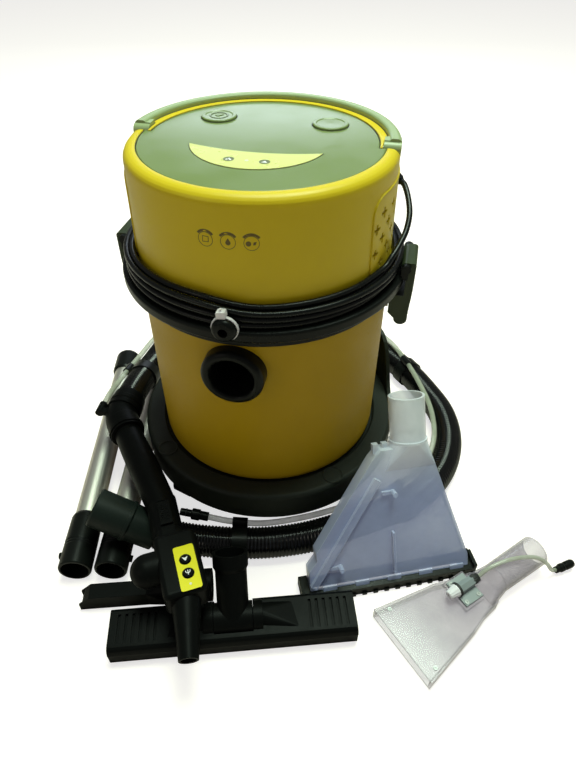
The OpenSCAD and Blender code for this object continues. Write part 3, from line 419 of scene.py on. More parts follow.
# %% [markdown]
# The spray gun carries a yellow label with two black push buttons. The upper button turns the
# suction on and the lower one the water, and each has a white sign: a funnel and a spray fork.
# A small lamp sits below them. The signs ride on their buttons, so they sink when one is pressed.

# %% Gun label and signs
BLOCK_TOP, SIGN_LOW, SIGN_HIGH = 19.93, 22.1, 22.5
VACUUM_X, WATER_X, LAMP_X, BUTTON_Y = 96, 114, 127.4, 13
gun_block = placed(-186.5, -95.5, 88, -49.5) @ placed(147, 0, 0, -10)
on_block = in_frame(gun_block)
label_loops = [rounded_loop(106, 13.4, 57, 23.6, 2.6), arc_loop(VACUUM_X, BUTTON_Y, 6.9),
               arc_loop(WATER_X, BUTTON_Y, 6.9), arc_loop(LAMP_X, BUTTON_Y, 1.5, count=16)]
gun_label = add_plates("gun_label", [label_loops], BLOCK_TOP, BLOCK_TOP + 0.35, on_block,
                       "machine", "yellow_shell")
gun_lamp = add_plates("gun_lamp", [[arc_loop(LAMP_X, BUTTON_Y, 1.4, count=16)]], BLOCK_TOP, BLOCK_TOP + 0.6,
                      on_block, "machine", "white_plastic")


def on_button(x):
    """Placing for a sign drawn upright, as someone holding the gun reads it."""
    return lambda u, v, z: gun_block @ mm(x - v, BUTTON_Y + u, z)


def mirrored(half):
    """A closed loop from its right half, listed from the bottom up."""
    return half + [(-x, y) for x, y in reversed(half)]


FUNNEL = [mirrored([(0.5, -2.9), (3.0, 1.4), (3.0, 2.3), (0.5, 0.9)])]
FORK = [mirrored([(0.45, -3.2), (0.45, -1.3), (1.9, -0.7), (2.9, 0.6), (2.9, 2.4), (2.1, 2.4),
                  (2.1, 0.9), (1.4, 0.1), (0.45, -0.3), (0.45, 2.9)])]
vacuum_sign = add_plates("gun_vacuum_sign", [FUNNEL], SIGN_LOW, SIGN_HIGH, on_button(VACUUM_X),
                         "gun_vacuum_button", "white_plastic")
water_sign = add_plates("gun_water_sign", [FORK], SIGN_LOW, SIGN_HIGH, on_button(WATER_X),
                        "gun_water_button", "white_plastic")
print("gun label", len(gun_label.data.polygons), "faces")

# %% [markdown]
# The lid is where panels meet: sage green panel, yellow shell, pale strip, buttons and handle. Each
# joint shows as a dark line, and that line is painted shade: a thin black ring laid in the groove or on
# the edge, where the gap's shadow falls. These drawings are in the machine's own frame, so the
# placing function is plain mm.

# %% Lid seams, as painted shade
PANEL_TOP, STRIP_TOP = top("top_panel"), top("crescent_panel")
POWER_AT, PUMP_AT = middle("power_button").xy, middle("pump_button").xy


def lid_outline(front_r, rear_r, step_y):
    """The lid panel's outline: a wide front arc and a narrower rear arc, with a step at both sides."""
    front = degrees(asin(step_y / front_r))
    rear = degrees(asin(step_y / rear_r))
    return (arc_loop(0, 0, front_r, 180 - front, 360 + front, 72)
            + arc_loop(0, 0, rear_r, rear, 180 - rear, 72))


def strip_outline(grow):
    """The smile of the control strip: the lower arc of one circle, cut off by a wider one."""
    low_y, low_r, high_y, high_r = -10.5, 72.5 + grow, 187.0, 228.0 - grow
    apart = high_y - low_y
    meet_y = (low_r ** 2 - high_r ** 2 + apart ** 2) / (2 * apart)
    meet_x = sqrt(low_r ** 2 - meet_y ** 2)
    a = degrees(atan2(meet_y, meet_x))
    b = degrees(atan2(meet_y - apart, meet_x))
    return arc_loop(0, low_y, low_r, -180 - a, a, 48) + arc_loop(0, high_y, high_r, b, -180 - b, 48)


# Painted shade: a dark ring in the groove round the lid panel, standing for the shadow in that gap.
lid_gap_shade_ring = add_plates("lid_gap_shade", [[lid_outline(131.5, 123.9, -2.7), lid_outline(130.9, 123.3, -3.0)]],
                    PANEL_TOP - 5.1, PANEL_TOP - 0.5, mm, "head", "seal_rubber")
# Painted shade: thin dark rings laid on the panel round the buttons and the strip, standing for the shadow in
# their gaps.
seam_shade_shapes = [ring_shape(*POWER_AT, 20.1, 21.0, 48), ring_shape(*PUMP_AT, 20.1, 21.0, 48),
              [strip_outline(0.75), strip_outline(0.12)]]
panel_seam_shade = add_plates("panel_seam_shade", seam_shade_shapes, PANEL_TOP - 0.1, PANEL_TOP + 0.06, mm,
                         "head", "seal_rubber")
# Painted shade: a dark band along the handle's inner edge, where its gap casts a shadow.
handle_seam_shade = add_plates("handle_seam_shade", [band_shape(0, 0, 132.2, 133.0, 5, 175, 90)],
                         STRIP_TOP - 0.1, STRIP_TOP + 0.1, mm, "head", "seal_rubber")
print("lid seams", sum(len(p.data.polygons) for p in (lid_gap_shade_ring, panel_seam_shade, handle_seam_shade)), "faces")

# %% [markdown]
# The strip has two small round signs, three drops and a triangle, with a lamp between them. The
# power button has a raised tick in a ring, outlined in black.

# %% Lid signs
DROPS_X, TRIANGLE_X = -18.2, 18.0
BUTTON_TOP = top("power_button")
SIGN_FOOT, LINE_TOP, SIGN_TOP = BUTTON_TOP - 1.0, BUTTON_TOP - 0.58, BUTTON_TOP - 0.2
TRIANGLE = [[(-3.0, -2.0), (3.0, -2.0), (0.0, 2.9)]]
DROPS = [[arc_loop(x, y, r, -225, 45, 12) + [(x, tip)]]
         for x, y, r, tip in ((-1.9, -1.2, 1.3, 1.3), (1.9, -1.2, 1.3, 1.3), (0, 1.2, 1.2, 3.4))]
TICK = [[(-4.6, 0.4), (-3.6, 1.5), (-1.1, -0.9), (4.0, 4.4), (5.1, 3.4), (-1.1, -3.0)]]


def shifted(shapes, dx, dy):
    return [[[(x + dx, y + dy) for x, y in loop] for loop in loops] for loops in shapes]


def on_strip(name, shapes, rise, slot):
    """Plates on the control strip that stand proud of it by their rise."""
    return add_plates(name, shapes, STRIP_TOP - 0.1, STRIP_TOP + rise, mm, "head", slot)


strip_discs = on_strip("strip_discs", [[arc_loop(DROPS_X, -62.8, 5.5)], [arc_loop(TRIANGLE_X, -62.8, 5.5)]],
                       0.05, "black_plastic")
strip_signs = on_strip("strip_signs", shifted(DROPS, DROPS_X, -63.0) + shifted([TRIANGLE], TRIANGLE_X, -63.0),
                       0.1, "white_plastic")
strip_lamp = on_strip("strip_lamp", [[arc_loop(0, -63, 2.0, count=20)]], 0.12, "white_plastic")
power_shapes = [ring_shape(*POWER_AT, 9.0, 10.3, 48)] + shifted([TICK], POWER_AT.x, POWER_AT.y - 0.6)
power_sign = add_plates("power_sign", power_shapes, SIGN_FOOT, SIGN_TOP, mm, "power_button", "green_panel")
line_shapes = [ring_shape(*POWER_AT, 10.4, 10.9, 48), ring_shape(*POWER_AT, 8.4, 8.9, 48)]
power_lines = add_plates("power_sign_lines", line_shapes, SIGN_FOOT, LINE_TOP, mm, "power_button",
                         "seal_rubber")
print("lid signs", [p.name for p in (strip_discs, strip_signs, strip_lamp, power_sign, power_lines)])

# %% [markdown]
# Three faded pictograms are printed on the front of the head: a carpet square, a drop and a nozzle,
# each in a ring with a thick cap. Their drawings are bent round the cone of the shell.

# %% Pictograms on the head
shell_low, shell_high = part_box("head_shell")
SHELL_R, SHELL_FOOT, TAPER = shell_high.x / MM, shell_low.z / MM, 2.6 / 120.7


def cone_radius(z):
    """Radius of the head shell, in millimetres, at a height."""
    return SHELL_R - TAPER * (z - SHELL_FOOT)


def on_head(angle, height):
    """Placing for a drawing centred at an angle from the front and at a height."""
    def place(u, v, out):
        r = cone_radius(height + v) + out
        a = radians(angle) + u / cone_radius(height)
        return mm(r * sin(a), -r * cos(a), height + v)
    return place


SIGN_Z = 437
BOWL = [ring_shape(0, -0.6, 6.9, 7.5, 32), band_shape(0, -1.2, 8.2, 10.6, 38, 142, 14)]
SQUARE = [[(-3.4, -3.6), (3.2, -3.2), (3.4, 2.6), (-2.8, 2.8)],
          [(-2.7, -2.9), (-2.2, 2.1), (2.7, 1.9), (2.5, -2.6)]]
DROP = [arc_loop(0, -1.4, 2.5, -215, 35, 16) + [(0, 3.2)]]
NOZZLE = [[arc_loop(-3.0, -1.2, 2.6, count=18)], [[(1.2, -2.6), (3.6, -2.2), (4.8, 1.0), (2.0, 0.4)]]]
head_signs = [
    add_plates("pictogram_" + name, BOWL + mark, -0.1, 0.06, on_head(angle, SIGN_Z), "head", "black_plastic")
    for name, angle, mark in (("carpet", -7.8, [SQUARE]), ("drop", 0.9, [DROP]), ("nozzle", 9.6, NOZZLE))]
print("pictograms", [p.name for p in head_signs])

# %% [markdown]
# Each vent window has a raised bead round it, swept along the window's outline on the cone. The
# mains lead's gland has rings that keep the lead from kinking where it leaves the head.

# %% Vent beads and gland ribs
VENT_Z, BEAD_R = middle("vent_grilles").z, 1.5 * MM


def bead_line(side):
    """The outline of a vent window, a little wider, lying on the cone."""
    outline = rounded_loop(0, 0, 137.4, 95.4, 17.5)
    line = []
    for (ax, ay), (bx, by) in zip(outline, outline[1:] + outline[:1]):
        for k in range(8):
            y, z = ax + (bx - ax) * k / 8, VENT_Z + ay + (by - ay) * k / 8
            line.append(mm(side * sqrt((cone_radius(z) + 0.1) ** 2 - y * y), y, z))
    return line + [line[0]]


beads = [add_piece("vent_bead_" + name, *sweep(bead_line(side), even(BEAD_R), 8), "head", "yellow_shell")
         for name, side in (("left", -1), ("right", 1))]
gland = placed(0, 0, middle("cord_gland").z, 32) @ placed(154.2, 0, 0)
gland_axis = gland.to_3x3() @ Vector((0, 1, 0))
ribs = [ring_about(gland @ mm(0, y, 0), gland_axis, 7 + (y + 9) * 2.8 / 24 + 0.3, 0.9, 24, 8)
        for y in range(-12, -29, -4)]
gland_ribs = add_piece("gland_ribs", *joined(ribs), "head", "black_plastic")
print("beads and ribs", sum(len(p.data.polygons) for p in beads + [gland_ribs]), "faces")

# %% [markdown]
# A white cable tie goes round the water coupling, with its lock at the top. Screws with a cross
# slot hold the small clear nozzle and its valve. A screw is a plate with a cross cut out over a
# dark floor.

# %% Cable tie and screws
coupling = placed(0, -168.4, middle("water_outlet").z, 90, "X")
lock = in_frame(coupling @ placed(0, 0, 0, 8) @ placed(0, 17, 0))
band = [(13.1, -1.8), (14.0, -1.8), (14.3, -1.4), (14.3, 1.4), (14.0, 1.8), (13.1, 1.8)]
tie_parts = [turned(band, 48, in_frame(coupling)),
             plates([[rounded_loop(0, 0, 9.5, 7.5, 1.2)]], -3.8, 3.8, lock),
             plates([[rounded_loop(0, 4.6, 2.4, 3.0, 0.4)]], -1.6, 1.6, lock)]
cable_tie = add_piece("cable_tie", *joined(tie_parts), "head", "white_plastic", smooth=False)

ARM, HALF = 0.9, 0.22
CROSS = [(-ARM, -HALF), (-HALF, -HALF), (-HALF, -ARM), (HALF, -ARM), (HALF, -HALF), (ARM, -HALF),
         (ARM, HALF), (HALF, HALF), (HALF, ARM), (-HALF, ARM), (-HALF, HALF), (-ARM, HALF)]
SCREWS = [(16.1, 41.0, 18, 2.6), (14.7, -41.0, 18, 2.6), (99, 23, 24, 2.9), (99, -5, 24, 2.9),
          (119, -5, 24, 2.9)]
on_nozzle = in_frame(small_nozzle)
screws = []
for number, (x, y, z, r) in enumerate(SCREWS, 1):
    slot = [(x + px * r * 0.62, y + py * r * 0.62) for px, py in CROSS]
    head = plates([[arc_loop(x, y, r, count=24), slot]], z - 0.2, z + 0.9, on_nozzle)
    floor = plates([[arc_loop(x, y, r * 0.7, count=24)]], z - 0.1, z + 0.15, on_nozzle)
    screws.append(add_piece(f"nozzle_screw_{number}", *joined([head, floor]), "upholstery_nozzle",
                            "motor_steel", smooth=False))
print("screws", len(screws))

# %% [markdown]
# The spray valve is dressed as the real one: a white fluted cone over the jet, a black ring where
# it screws on the grey block, and a black ribbed nut where the tube goes in.

# %% Spray valve dressing
jet = in_frame(small_nozzle @ placed(84, 12, 29, 90, "Y"))
cap_profile = [(1.4, -0.8), (4.6, -0.8), (5.4, 0.2), (7.9, 11.0), (8.3, 11.6), (8.3, 12.6), (6.2, 12.6),
               (1.4, 0.6)]
jet_cap = add_piece("jet_cap", *turned(cap_profile, 12 * 6, jet, 0.5), "upholstery_nozzle", "white_plastic")
ring_profile = [(6.0, 12.8), (8.9, 12.8), (9.2, 13.1), (9.2, 15.4), (8.9, 15.7), (6.0, 15.7)]
jet_ring = add_piece("jet_ring", *turned(ring_profile, 36, jet), "upholstery_nozzle", "seal_rubber",
                     smooth=False)
on_inlet = in_frame(small_nozzle @ placed(121, 11.5, 29, -8) @ placed(0, 0, 0, 80, "Y"))
nut_profile = [(4.4, -0.2), (6.0, -0.2), (6.4, 0.4), (6.4, 6.4), (5.6, 7.0), (5.6, 10.4), (4.4, 10.4)]
tube_nut = add_piece("tube_nut", *turned(nut_profile, 14 * 6, on_inlet, 0.6), "upholstery_nozzle",
                     "seal_rubber")
print("spray valve dressed with", jet_cap.name, jet_ring.name, tube_nut.name)

# %% [markdown]
# A raised ring caps each round boss on the deck, over the front casters, and each wheel has a domed
# hub cap on both of its outer faces. A cap is turned in the wheel's own frame, so one loop serves
# all four casters.

# %% Boss rings and hub caps
BOSS_R, DECK_Z = 166, 100
ring_profile = [(11.5, -0.5), (13.7, -0.5), (13.7, 0.5), (13.1, 1.1), (12.1, 1.1), (11.5, 0.5)]
boss_rings, hub_caps = [], []
for side, angle in (("left", -43), ("right", 43)):
    a = radians(angle)
    seat = in_frame(placed(BOSS_R * sin(a), -BOSS_R * cos(a), DECK_Z))
    boss_rings.append(add_piece("boss_ring_" + side, *turned(ring_profile, 48, seat), "machine",
                                "black_plastic", smooth=False))
cap_profile = [(0.3, 12.9), (7.2, 12.9), (7.2, 13.4), (6.0, 14.2), (2.6, 14.6), (2.2, 14.1), (0.3, 14.1)]
CASTER_TURNS = {"front_left": -18, "front_right": -117, "rear_left": -67, "rear_right": -23}
for place, turn in CASTER_TURNS.items():
    wheels = "caster_wheels_" + place
    axle = in_frame(placed(*middle(wheels), turn) @ placed(0, 0, 0, 90, "Y"))
    caps = [turned([(r, side * z) for r, z in cap_profile], 32, axle) for side in (-1, 1)]
    hub_caps.append(add_piece("hub_caps_" + place, *joined(caps), wheels, "black_plastic", smooth=False))
print("rings and caps", [p.name for p in boss_rings + hub_caps])

# %% [markdown]
# Materials are procedural, made of shader nodes. These helpers add a node with its links and
# settings in one call, and name the two nodes that come up most.

# %% Node helpers
def plug(tree, target, value):
    """Gives an input a value, or links it to another node's output."""
    if isinstance(value, bpy.types.NodeSocket):
        tree.links.new(value, target)
    else:
        target.default_value = value


def connect(tree, node, links):
    """Several inputs of a node at once: links maps each to a socket or a value."""
    for key, value in links.items():
        plug(tree, node.inputs[key], value)
    return node


def add_node(tree, kind, links=None, **settings):
    """A node of that kind, with its links and its properties."""
    node = tree.nodes.new("ShaderNode" + kind)
    for key, value in settings.items():
        setattr(node, key, value)
    return connect(tree, node, links or {})


def sum_of(tree, operation, *values):
    """What one Math node makes of numbers or sockets."""
    return add_node(tree, "Math", dict(enumerate(values)), operation=operation).outputs[0]


def remap(tree, value, low, high, to_low=0.0, to_high=1.0, **settings):
    """A value carried from one range to another."""
    links = {"Value": value, "From Min": low, "From Max": high, "To Min": to_low, "To Max": to_high}
    return add_node(tree, "MapRange", links, **settings).outputs["Result"]


FLOAT, COLOUR, VECTOR = "NodeSocketFloat", "NodeSocketColor", "NodeSocketVector"
print("node helpers ready")

# %% [markdown]
# Finishes share a few effects: grain of the mould, worn edges, settled dust, fine scratches and
# the drift of tone that any large moulding has. Each effect is one node group with its own
# inputs, built once, so a material only says how much of it the real surface shows. All of them
# read object coordinates, which stay with a piece when a joint moves it.

# %% Node group helper
class Group:
    """A shader node group under construction."""

    def __init__(self, name, inputs, outputs):
        self.tree = bpy.data.node_groups.new(name, "ShaderNodeTree")
        for label, kind, value in inputs:
            socket = self.tree.interface.new_socket(label, in_out="INPUT", socket_type=kind)
            if value is not None:
                socket.default_value = value
        for label, kind in outputs:
            self.tree.interface.new_socket(label, in_out="OUTPUT", socket_type=kind)
        self.start = self.tree.nodes.new("NodeGroupInput")
        self.end = self.tree.nodes.new("NodeGroupOutput")
        print("group:", name)

    def node(self, kind, links=None, **settings):
        return add_node(self.tree, kind, links, **settings)

    def take(self, label):
        return self.start.outputs[label]

    def give(self, label, socket):
        self.tree.links.new(socket, self.end.inputs[label])

    def sum_of(self, operation, *values):
        return sum_of(self.tree, operation, *values)

    def remap(self, *values, **settings):
        return remap(self.tree, *values, **settings)

    def place(self):
        """Object coordinates, which stay with a piece when a joint moves it."""
        return self.node("TexCoord").outputs["Object"]

    def per_metre(self):
        """The scale of a noise whose features have the group's Size, in millimetres."""
        return self.sum_of("DIVIDE", 1000.0, self.take("Size"))

    def noise(self, scale, detail, roughness=0.5, where=None):
        links = {"Vector": where or self.place(), "Scale": scale, "Detail": detail, "Roughness": roughness}
        return self.node("TexNoise", links).outputs["Fac"]


print("group helper ready")

# %% [markdown]
# Grain is what a mould leaves on satin plastic: pits and bumps of about half a millimetre. Height
# feeds a Bump node, and Shine is a much broader patchiness that moves the roughness a little,
# because no large moulding is equally glossy everywhere.

# %% Mould grain
grain = Group("Mould grain", [("Size", FLOAT, 0.6)], [("Height", FLOAT), ("Shine", FLOAT)])
grain.give("Height", grain.noise(grain.per_metre(), 2.5, 0.6))
grain.give("Shine", grain.noise(14.0, 4.0, 0.65))

# %% [markdown]
# Edges of used plastic are rubbed paler and smoother. The Bevel node gives the normal that a
# rounded edge would have, and where it differs from the true normal there is an edge. Noise breaks
# the mask up, so wear is uneven. The rounded normal is put out too, since it softens the hard
# edges of the CAD solids under light.

# %% Worn edges
wear = Group("Worn edges", [("Radius", FLOAT, 0.0006), ("Amount", FLOAT, 0.5)],
             [("Mask", FLOAT), ("Edge", FLOAT), ("Normal", VECTOR)])
rounded = wear.node("Bevel", {"Radius": wear.take("Radius")}, samples=4).outputs["Normal"]
true_normal = wear.node("NewGeometry").outputs["Normal"]
same = wear.node("VectorMath", {0: rounded, 1: true_normal}, operation="DOT_PRODUCT").outputs["Value"]
edge = wear.remap(same, 0.995, 0.86)
patchy = wear.remap(wear.noise(160.0, 5.0), 0.42, 0.62)
wear.give("Mask", wear.sum_of("MULTIPLY", wear.sum_of("MULTIPLY", edge, patchy), wear.take("Amount")))
wear.give("Edge", edge)
wear.give("Normal", rounded)

# %% [markdown]
# Dust lies on what faces up. The mask is the upward part of the normal, broken up by two sizes of
# noise, so it gathers in patches and specks.

# %% Settled dust
dust = Group("Settled dust", [("Amount", FLOAT, 0.2)], [("Mask", FLOAT)])
up = dust.node("SeparateXYZ", {0: dust.node("NewGeometry").outputs["Normal"]}).outputs["Z"]
drifts = dust.remap(dust.noise(22.0, 6.0, 0.7), 0.35, 0.75)
specks = dust.remap(dust.noise(700.0, 2.0), 0.45, 0.75)
lying = dust.sum_of("MULTIPLY", dust.sum_of("MULTIPLY_ADD", drifts, specks, 0.25), dust.remap(up, 0.35, 1.0))
amount = dust.node("Math", {0: lying, 1: dust.take("Amount")}, operation="MULTIPLY", use_clamp=True)
dust.give("Mask", amount.outputs[0])

# %% [markdown]
# Fine scratches come from wiping: long thin lines in a few directions. Two stretched noises
# crossing each other and cut to their peaks give that, and they only touch the roughness.

# %% Wiping scratches
scratches = Group("Wiping scratches", [("Size", FLOAT, 2.0)], [("Mask", FLOAT)])
density = scratches.per_metre()
lines = []
for turn in (0.5, -0.9):
    laid = scratches.node("Mapping", {"Vector": scratches.place(), "Rotation": (turn, turn * 0.7, turn),
                                      "Scale": (1.0, 0.04, 0.6)})
    lines.append(scratches.remap(scratches.noise(density, 3.0, where=laid.outputs[0]), 0.60, 0.72))
scratches.give("Mask", scratches.sum_of("MAXIMUM", *lines))

# %% [markdown]
# Tone drift turns one colour into a slightly uneven one. A broad noise makes it darker or lighter
# by a few percent, as pigment and ageing do.

# %% Tone drift
tone = Group("Tone drift", [("Colour", COLOUR, None), ("Drift", FLOAT, 0.08), ("Size", FLOAT, 90.0)],
             [("Colour", COLOUR)])
centred = tone.sum_of("SUBTRACT", tone.noise(tone.per_metre(), 3.0), 0.5)
shift = tone.sum_of("MULTIPLY_ADD", centred, tone.take("Drift"), 1.0)
toned = tone.node("HueSaturation", {"Color": tone.take("Colour"), "Value": shift})
tone.give("Colour", toned.outputs["Color"])

# %% [markdown]
# Moulded plastic is the finish of nearly every part here, so one function builds it from the
# groups above. Base colour is the toned colour, mixed with a paler one where edges are worn and
# with grey where dust lies. Roughness follows patchiness and scratches, and grain is the bump.

# %% Moulded plastic
def use(tree, group, **inputs):
    """The outputs of a group, placed in a material with its own values."""
    return connect(tree, add_node(tree, "Group", node_tree=group.tree), inputs).outputs


def mix(tree, share, a, b):
    """Colour a turning into colour b."""
    return add_node(tree, "Mix", {0: share, 6: a, 7: b}, data_type="RGBA").outputs[2]


def new_material(name):
    material = bpy.data.materials.new(name)
    material.use_nodes = True
    return material, material.node_tree, material.node_tree.nodes["Principled BSDF"]


def dress(tree, shader, colour, roughness, height, depth, normal):
    """Colour, roughness and a bump of that depth in millimetres, which starts from a rounded normal."""
    bump = add_node(tree, "Bump", {"Height": height, "Distance": depth * MM, "Normal": normal})
    connect(tree, shader, {"Base Color": colour, "Roughness": roughness, "Normal": bump.outputs["Normal"]})


DUST_COLOUR = (0.42, 0.41, 0.38, 1)
WORN_SHADE, WORN_SHARE = 0.75, 0.35
PATCHY = 0.06


def moulded(name, colour, roughness, grain_size=0.6, depth=0.03, rub=0.3, dusty=0.1,
            scratched=0.05, drift=0.08, round_edge=0.6, specular=0.5):
    """A moulded plastic. Sizes are in millimetres."""
    material, tree, shader = new_material(name)
    connect(tree, shader, {"Specular IOR Level": specular})
    edges = use(tree, wear, Radius=round_edge * MM, Amount=rub)
    pitted = use(tree, grain, Size=grain_size)
    pale = tuple(c + (WORN_SHADE - c) * WORN_SHARE for c in colour) + (1,)
    base = use(tree, tone, Colour=(*colour, 1), Drift=drift)["Colour"]
    base = mix(tree, edges["Mask"], base, pale)
    if dusty:
        base = mix(tree, use(tree, dust, Amount=dusty)["Mask"], base, DUST_COLOUR)
    rough = remap(tree, pitted["Shine"], 0.3, 0.7, roughness - PATCHY, roughness + PATCHY)
    scuffed = sum_of(tree, "MULTIPLY_ADD", use(tree, scratches)["Mask"], scratched, rough)
    dress(tree, shader, base, scuffed, pitted["Height"], depth, edges["Normal"])
    return material


print("moulded() builds on", [group.name for group in bpy.data.node_groups])

# %% [markdown]
# Each plastic or rubber of the machine is one line of this table. What the parts have in common
# stands in three small sets: fine-grained parts, clean cords and labels, and printed signs.

# %% Plastics and rubbers
FINE = {"grain_size": 0.5, "depth": 0.02}
CLEAN = {"dusty": 0.0, "rub": 0.0, "round_edge": 0.1}
PRINTED = {"depth": 0.0, "dusty": 0.0, "rub": 0.0, "round_edge": 0.05}
head_yellow = moulded("head yellow", (0.80, 0.585, 0.01), 0.36, grain_size=0.8, depth=0.02, rub=0.12,
                      drift=0.05, scratched=0.12, round_edge=2.5, specular=0.30)
# Painted shade: the tank is the head's yellow made darker and more orange, as it stands lower and gets less
# of the overhead light.
shaded_tank_yellow = moulded("tank yellow painted shade", (0.54, 0.335, 0.005), 0.44, grain_size=0.8, depth=0.02,
                      drift=0.07, scratched=0.12, specular=0.20)
panel_green = moulded("panel sage green", (0.20, 0.26, 0.083), 0.18, grain_size=0.5, depth=0.01,
                      drift=0.06, dusty=0.02, scratched=0.012)
handle_green = moulded("handle sage green", (0.35, 0.43, 0.21), 0.34, drift=0.05, dusty=0.05, **FINE)
strip_yellow = moulded("strip pale yellow", (0.74, 0.72, 0.21), 0.25, depth=0.004, drift=0.03,
                       dusty=0.02, scratched=0.008)
base_grey = moulded("base green-grey", (0.014, 0.018, 0.012), 0.50, grain_size=0.7, depth=0.05,
                    dusty=0.04, rub=0.12, specular=0.22)
satin_black = moulded("satin black", (0.005, 0.006, 0.005), 0.30, dusty=0.01, rub=0.05, specular=0.16,
                      **FINE)
latch_black = moulded("latch green-black", (0.034, 0.047, 0.018), 0.34, dusty=0.03, rub=0.08,
                      specular=0.3)
gun_black = moulded("gun black", (0.0034, 0.0038, 0.0036), 0.40, grain_size=0.45, depth=0.05,
                    dusty=0.003, rub=0.04, specular=0.06)
cuff_black = moulded("cuff green-black", (0.008, 0.014, 0.011), 0.45, depth=0.02, dusty=0.02,
                     rub=0.06, specular=0.2)
ribbed_black = moulded("hose black", (0.004, 0.004, 0.004), 0.12, grain_size=1.2, depth=0.006,
                       **CLEAN)
sheath_black = moulded("cord sheath black", (0.005, 0.006, 0.0055), 0.28, grain_size=1.0, depth=0.02,
                       dusty=0.01, rub=0.0, round_edge=0.1, specular=0.25)
plug_black = moulded("plug rubber black", (0.012, 0.012, 0.012), 0.55, grain_size=0.5, depth=0.04)
tread_grey = moulded("tread rubber grey", (0.035, 0.036, 0.036), 0.7, grain_size=0.9, depth=0.08,
                     dusty=0.3, rub=0.1)
seal_and_gap_shade_black = moulded("seal rubber and gap shade black", (0.015, 0.015, 0.015), 0.6, grain_size=0.4)
foam_grey = moulded("foam grey", (0.05, 0.05, 0.052), 0.95, grain_size=1.6, depth=0.8, rub=0.0,
                    dusty=0.0)
natural_white = moulded("natural white", (0.72, 0.73, 0.70), 0.35, depth=0.01, drift=0.04)
nylon_white = moulded("nylon white", (0.97, 0.93, 0.97), 0.30, grain_size=0.4, depth=0.01, dusty=0.02)
valve_grey = moulded("valve grey", (0.26, 0.29, 0.30), 0.4, depth=0.02)
board_green = moulded("circuit board green", (0.02, 0.13, 0.05), 0.35, grain_size=3.0, depth=0.06,
                      drift=0.5)
label_yellow = moulded("label yellow", (0.90, 0.80, 0.02), 0.22, grain_size=1.5, depth=0.004,
                       drift=0.03, **CLEAN)
sign_olive = moulded("sign olive", (0.13, 0.15, 0.045), 0.4, **PRINTED)
lamp_white = moulded("lamp lens", (0.95, 0.90, 0.72), 0.15, drift=0.0, **PRINTED)
sign_brown = moulded("sign faded brown", (0.16, 0.11, 0.012), 0.45, grain_size=1.0, drift=0.6, **PRINTED)
print(len(bpy.data.materials), "plastics and rubbers")

# %% [markdown]
# The extension tubes are drawn aluminium, brushed along their length. Brushing is noise stretched
# a hundred times along the tube, so each tube's material turns the coordinates to its own axis.

# %% Brushed aluminium and steel
brushing = Group("Brushing", [("Vector", VECTOR, None)], [("Height", FLOAT), ("Streaks", FLOAT)])
brushing.give("Height", brushing.noise(2600.0, 3.0, where=brushing.take("Vector")))
brushing.give("Streaks", brushing.noise(500.0, 4.0, where=brushing.take("Vector")))


def brushed(name, colour, roughness, turn=0.0):
    """Bare metal, brushed along the direction that lies at turn degrees from +X."""
    material, tree, shader = new_material(name)
    connect(tree, shader, {"Metallic": 1.0})
    along = add_node(tree, "Mapping", {"Vector": add_node(tree, "TexCoord").outputs["Object"],
                                       "Rotation": (0, 0, -radians(turn))})
    stretched = add_node(tree, "VectorMath", {0: along.outputs[0], 1: (0.01, 1.0, 1.0)}, operation="MULTIPLY")
    drawn = use(tree, brushing, Vector=stretched.outputs[0])
    edges = use(tree, wear, Radius=0.4 * MM, Amount=0.0)
    base = mix(tree, drawn["Streaks"], (*(c * 0.86 for c in colour), 1), (*colour, 1))
    rough = remap(tree, drawn["Streaks"], 0.3, 0.7, roughness - 0.06, roughness + 0.08)
    dress(tree, shader, base, rough, drawn["Height"], 0.004, edges["Normal"])
    return material


left_aluminium = brushed("left tube aluminium", (0.92, 0.88, 0.80), 0.44, 104)
right_aluminium = brushed("right tube aluminium", (0.92, 0.88, 0.80), 0.44, 101.5)
bare_steel = brushed("bare steel", (0.55, 0.56, 0.57), 0.35)
screw_steel = brushed("screw steel", (0.30, 0.30, 0.30), 0.38)
print("metals ready")

# %% [markdown]
# Three clear plastics: milky polypropylene for the big nozzle, clear acrylic for the small one and
# soft vinyl for the tubes. Glass-like transmission through thin walls costs many samples, so they
# let light through by their alpha, which a cloudiness group varies. Each wall has two faces, and
# that alpha counts for each face. A cut edge or a wall seen on the slant has more plastic behind
# it, so alpha rises there and the colour turns to an edge colour. The milky one also turns paler
# towards its neck, where the wall is thicker.

# %% Clear plastics
cloud = Group("Cloudiness", [("Clear", FLOAT, 0.2), ("Cloudy", FLOAT, 0.4), ("Size", FLOAT, 40.0),
                             ("Thick", FLOAT, 0.0)], [("Alpha", FLOAT)])
haze = cloud.noise(cloud.per_metre(), 4.0, 0.6)
alpha = cloud.remap(haze, 0.35, 0.65, cloud.take("Clear"), cloud.take("Cloudy"))
cloud.give("Alpha", cloud.remap(cloud.take("Thick"), 0.0, 1.0, alpha, 0.9))

height = Group("Height share", [("Low", FLOAT, 0.0), ("High", FLOAT, 0.1)], [("Share", FLOAT)])
level = height.node("SeparateXYZ", {0: height.place()}).outputs["Z"]
height.give("Share", height.remap(level, height.take("Low"), height.take("High"),
                                  interpolation_type="SMOOTHSTEP"))


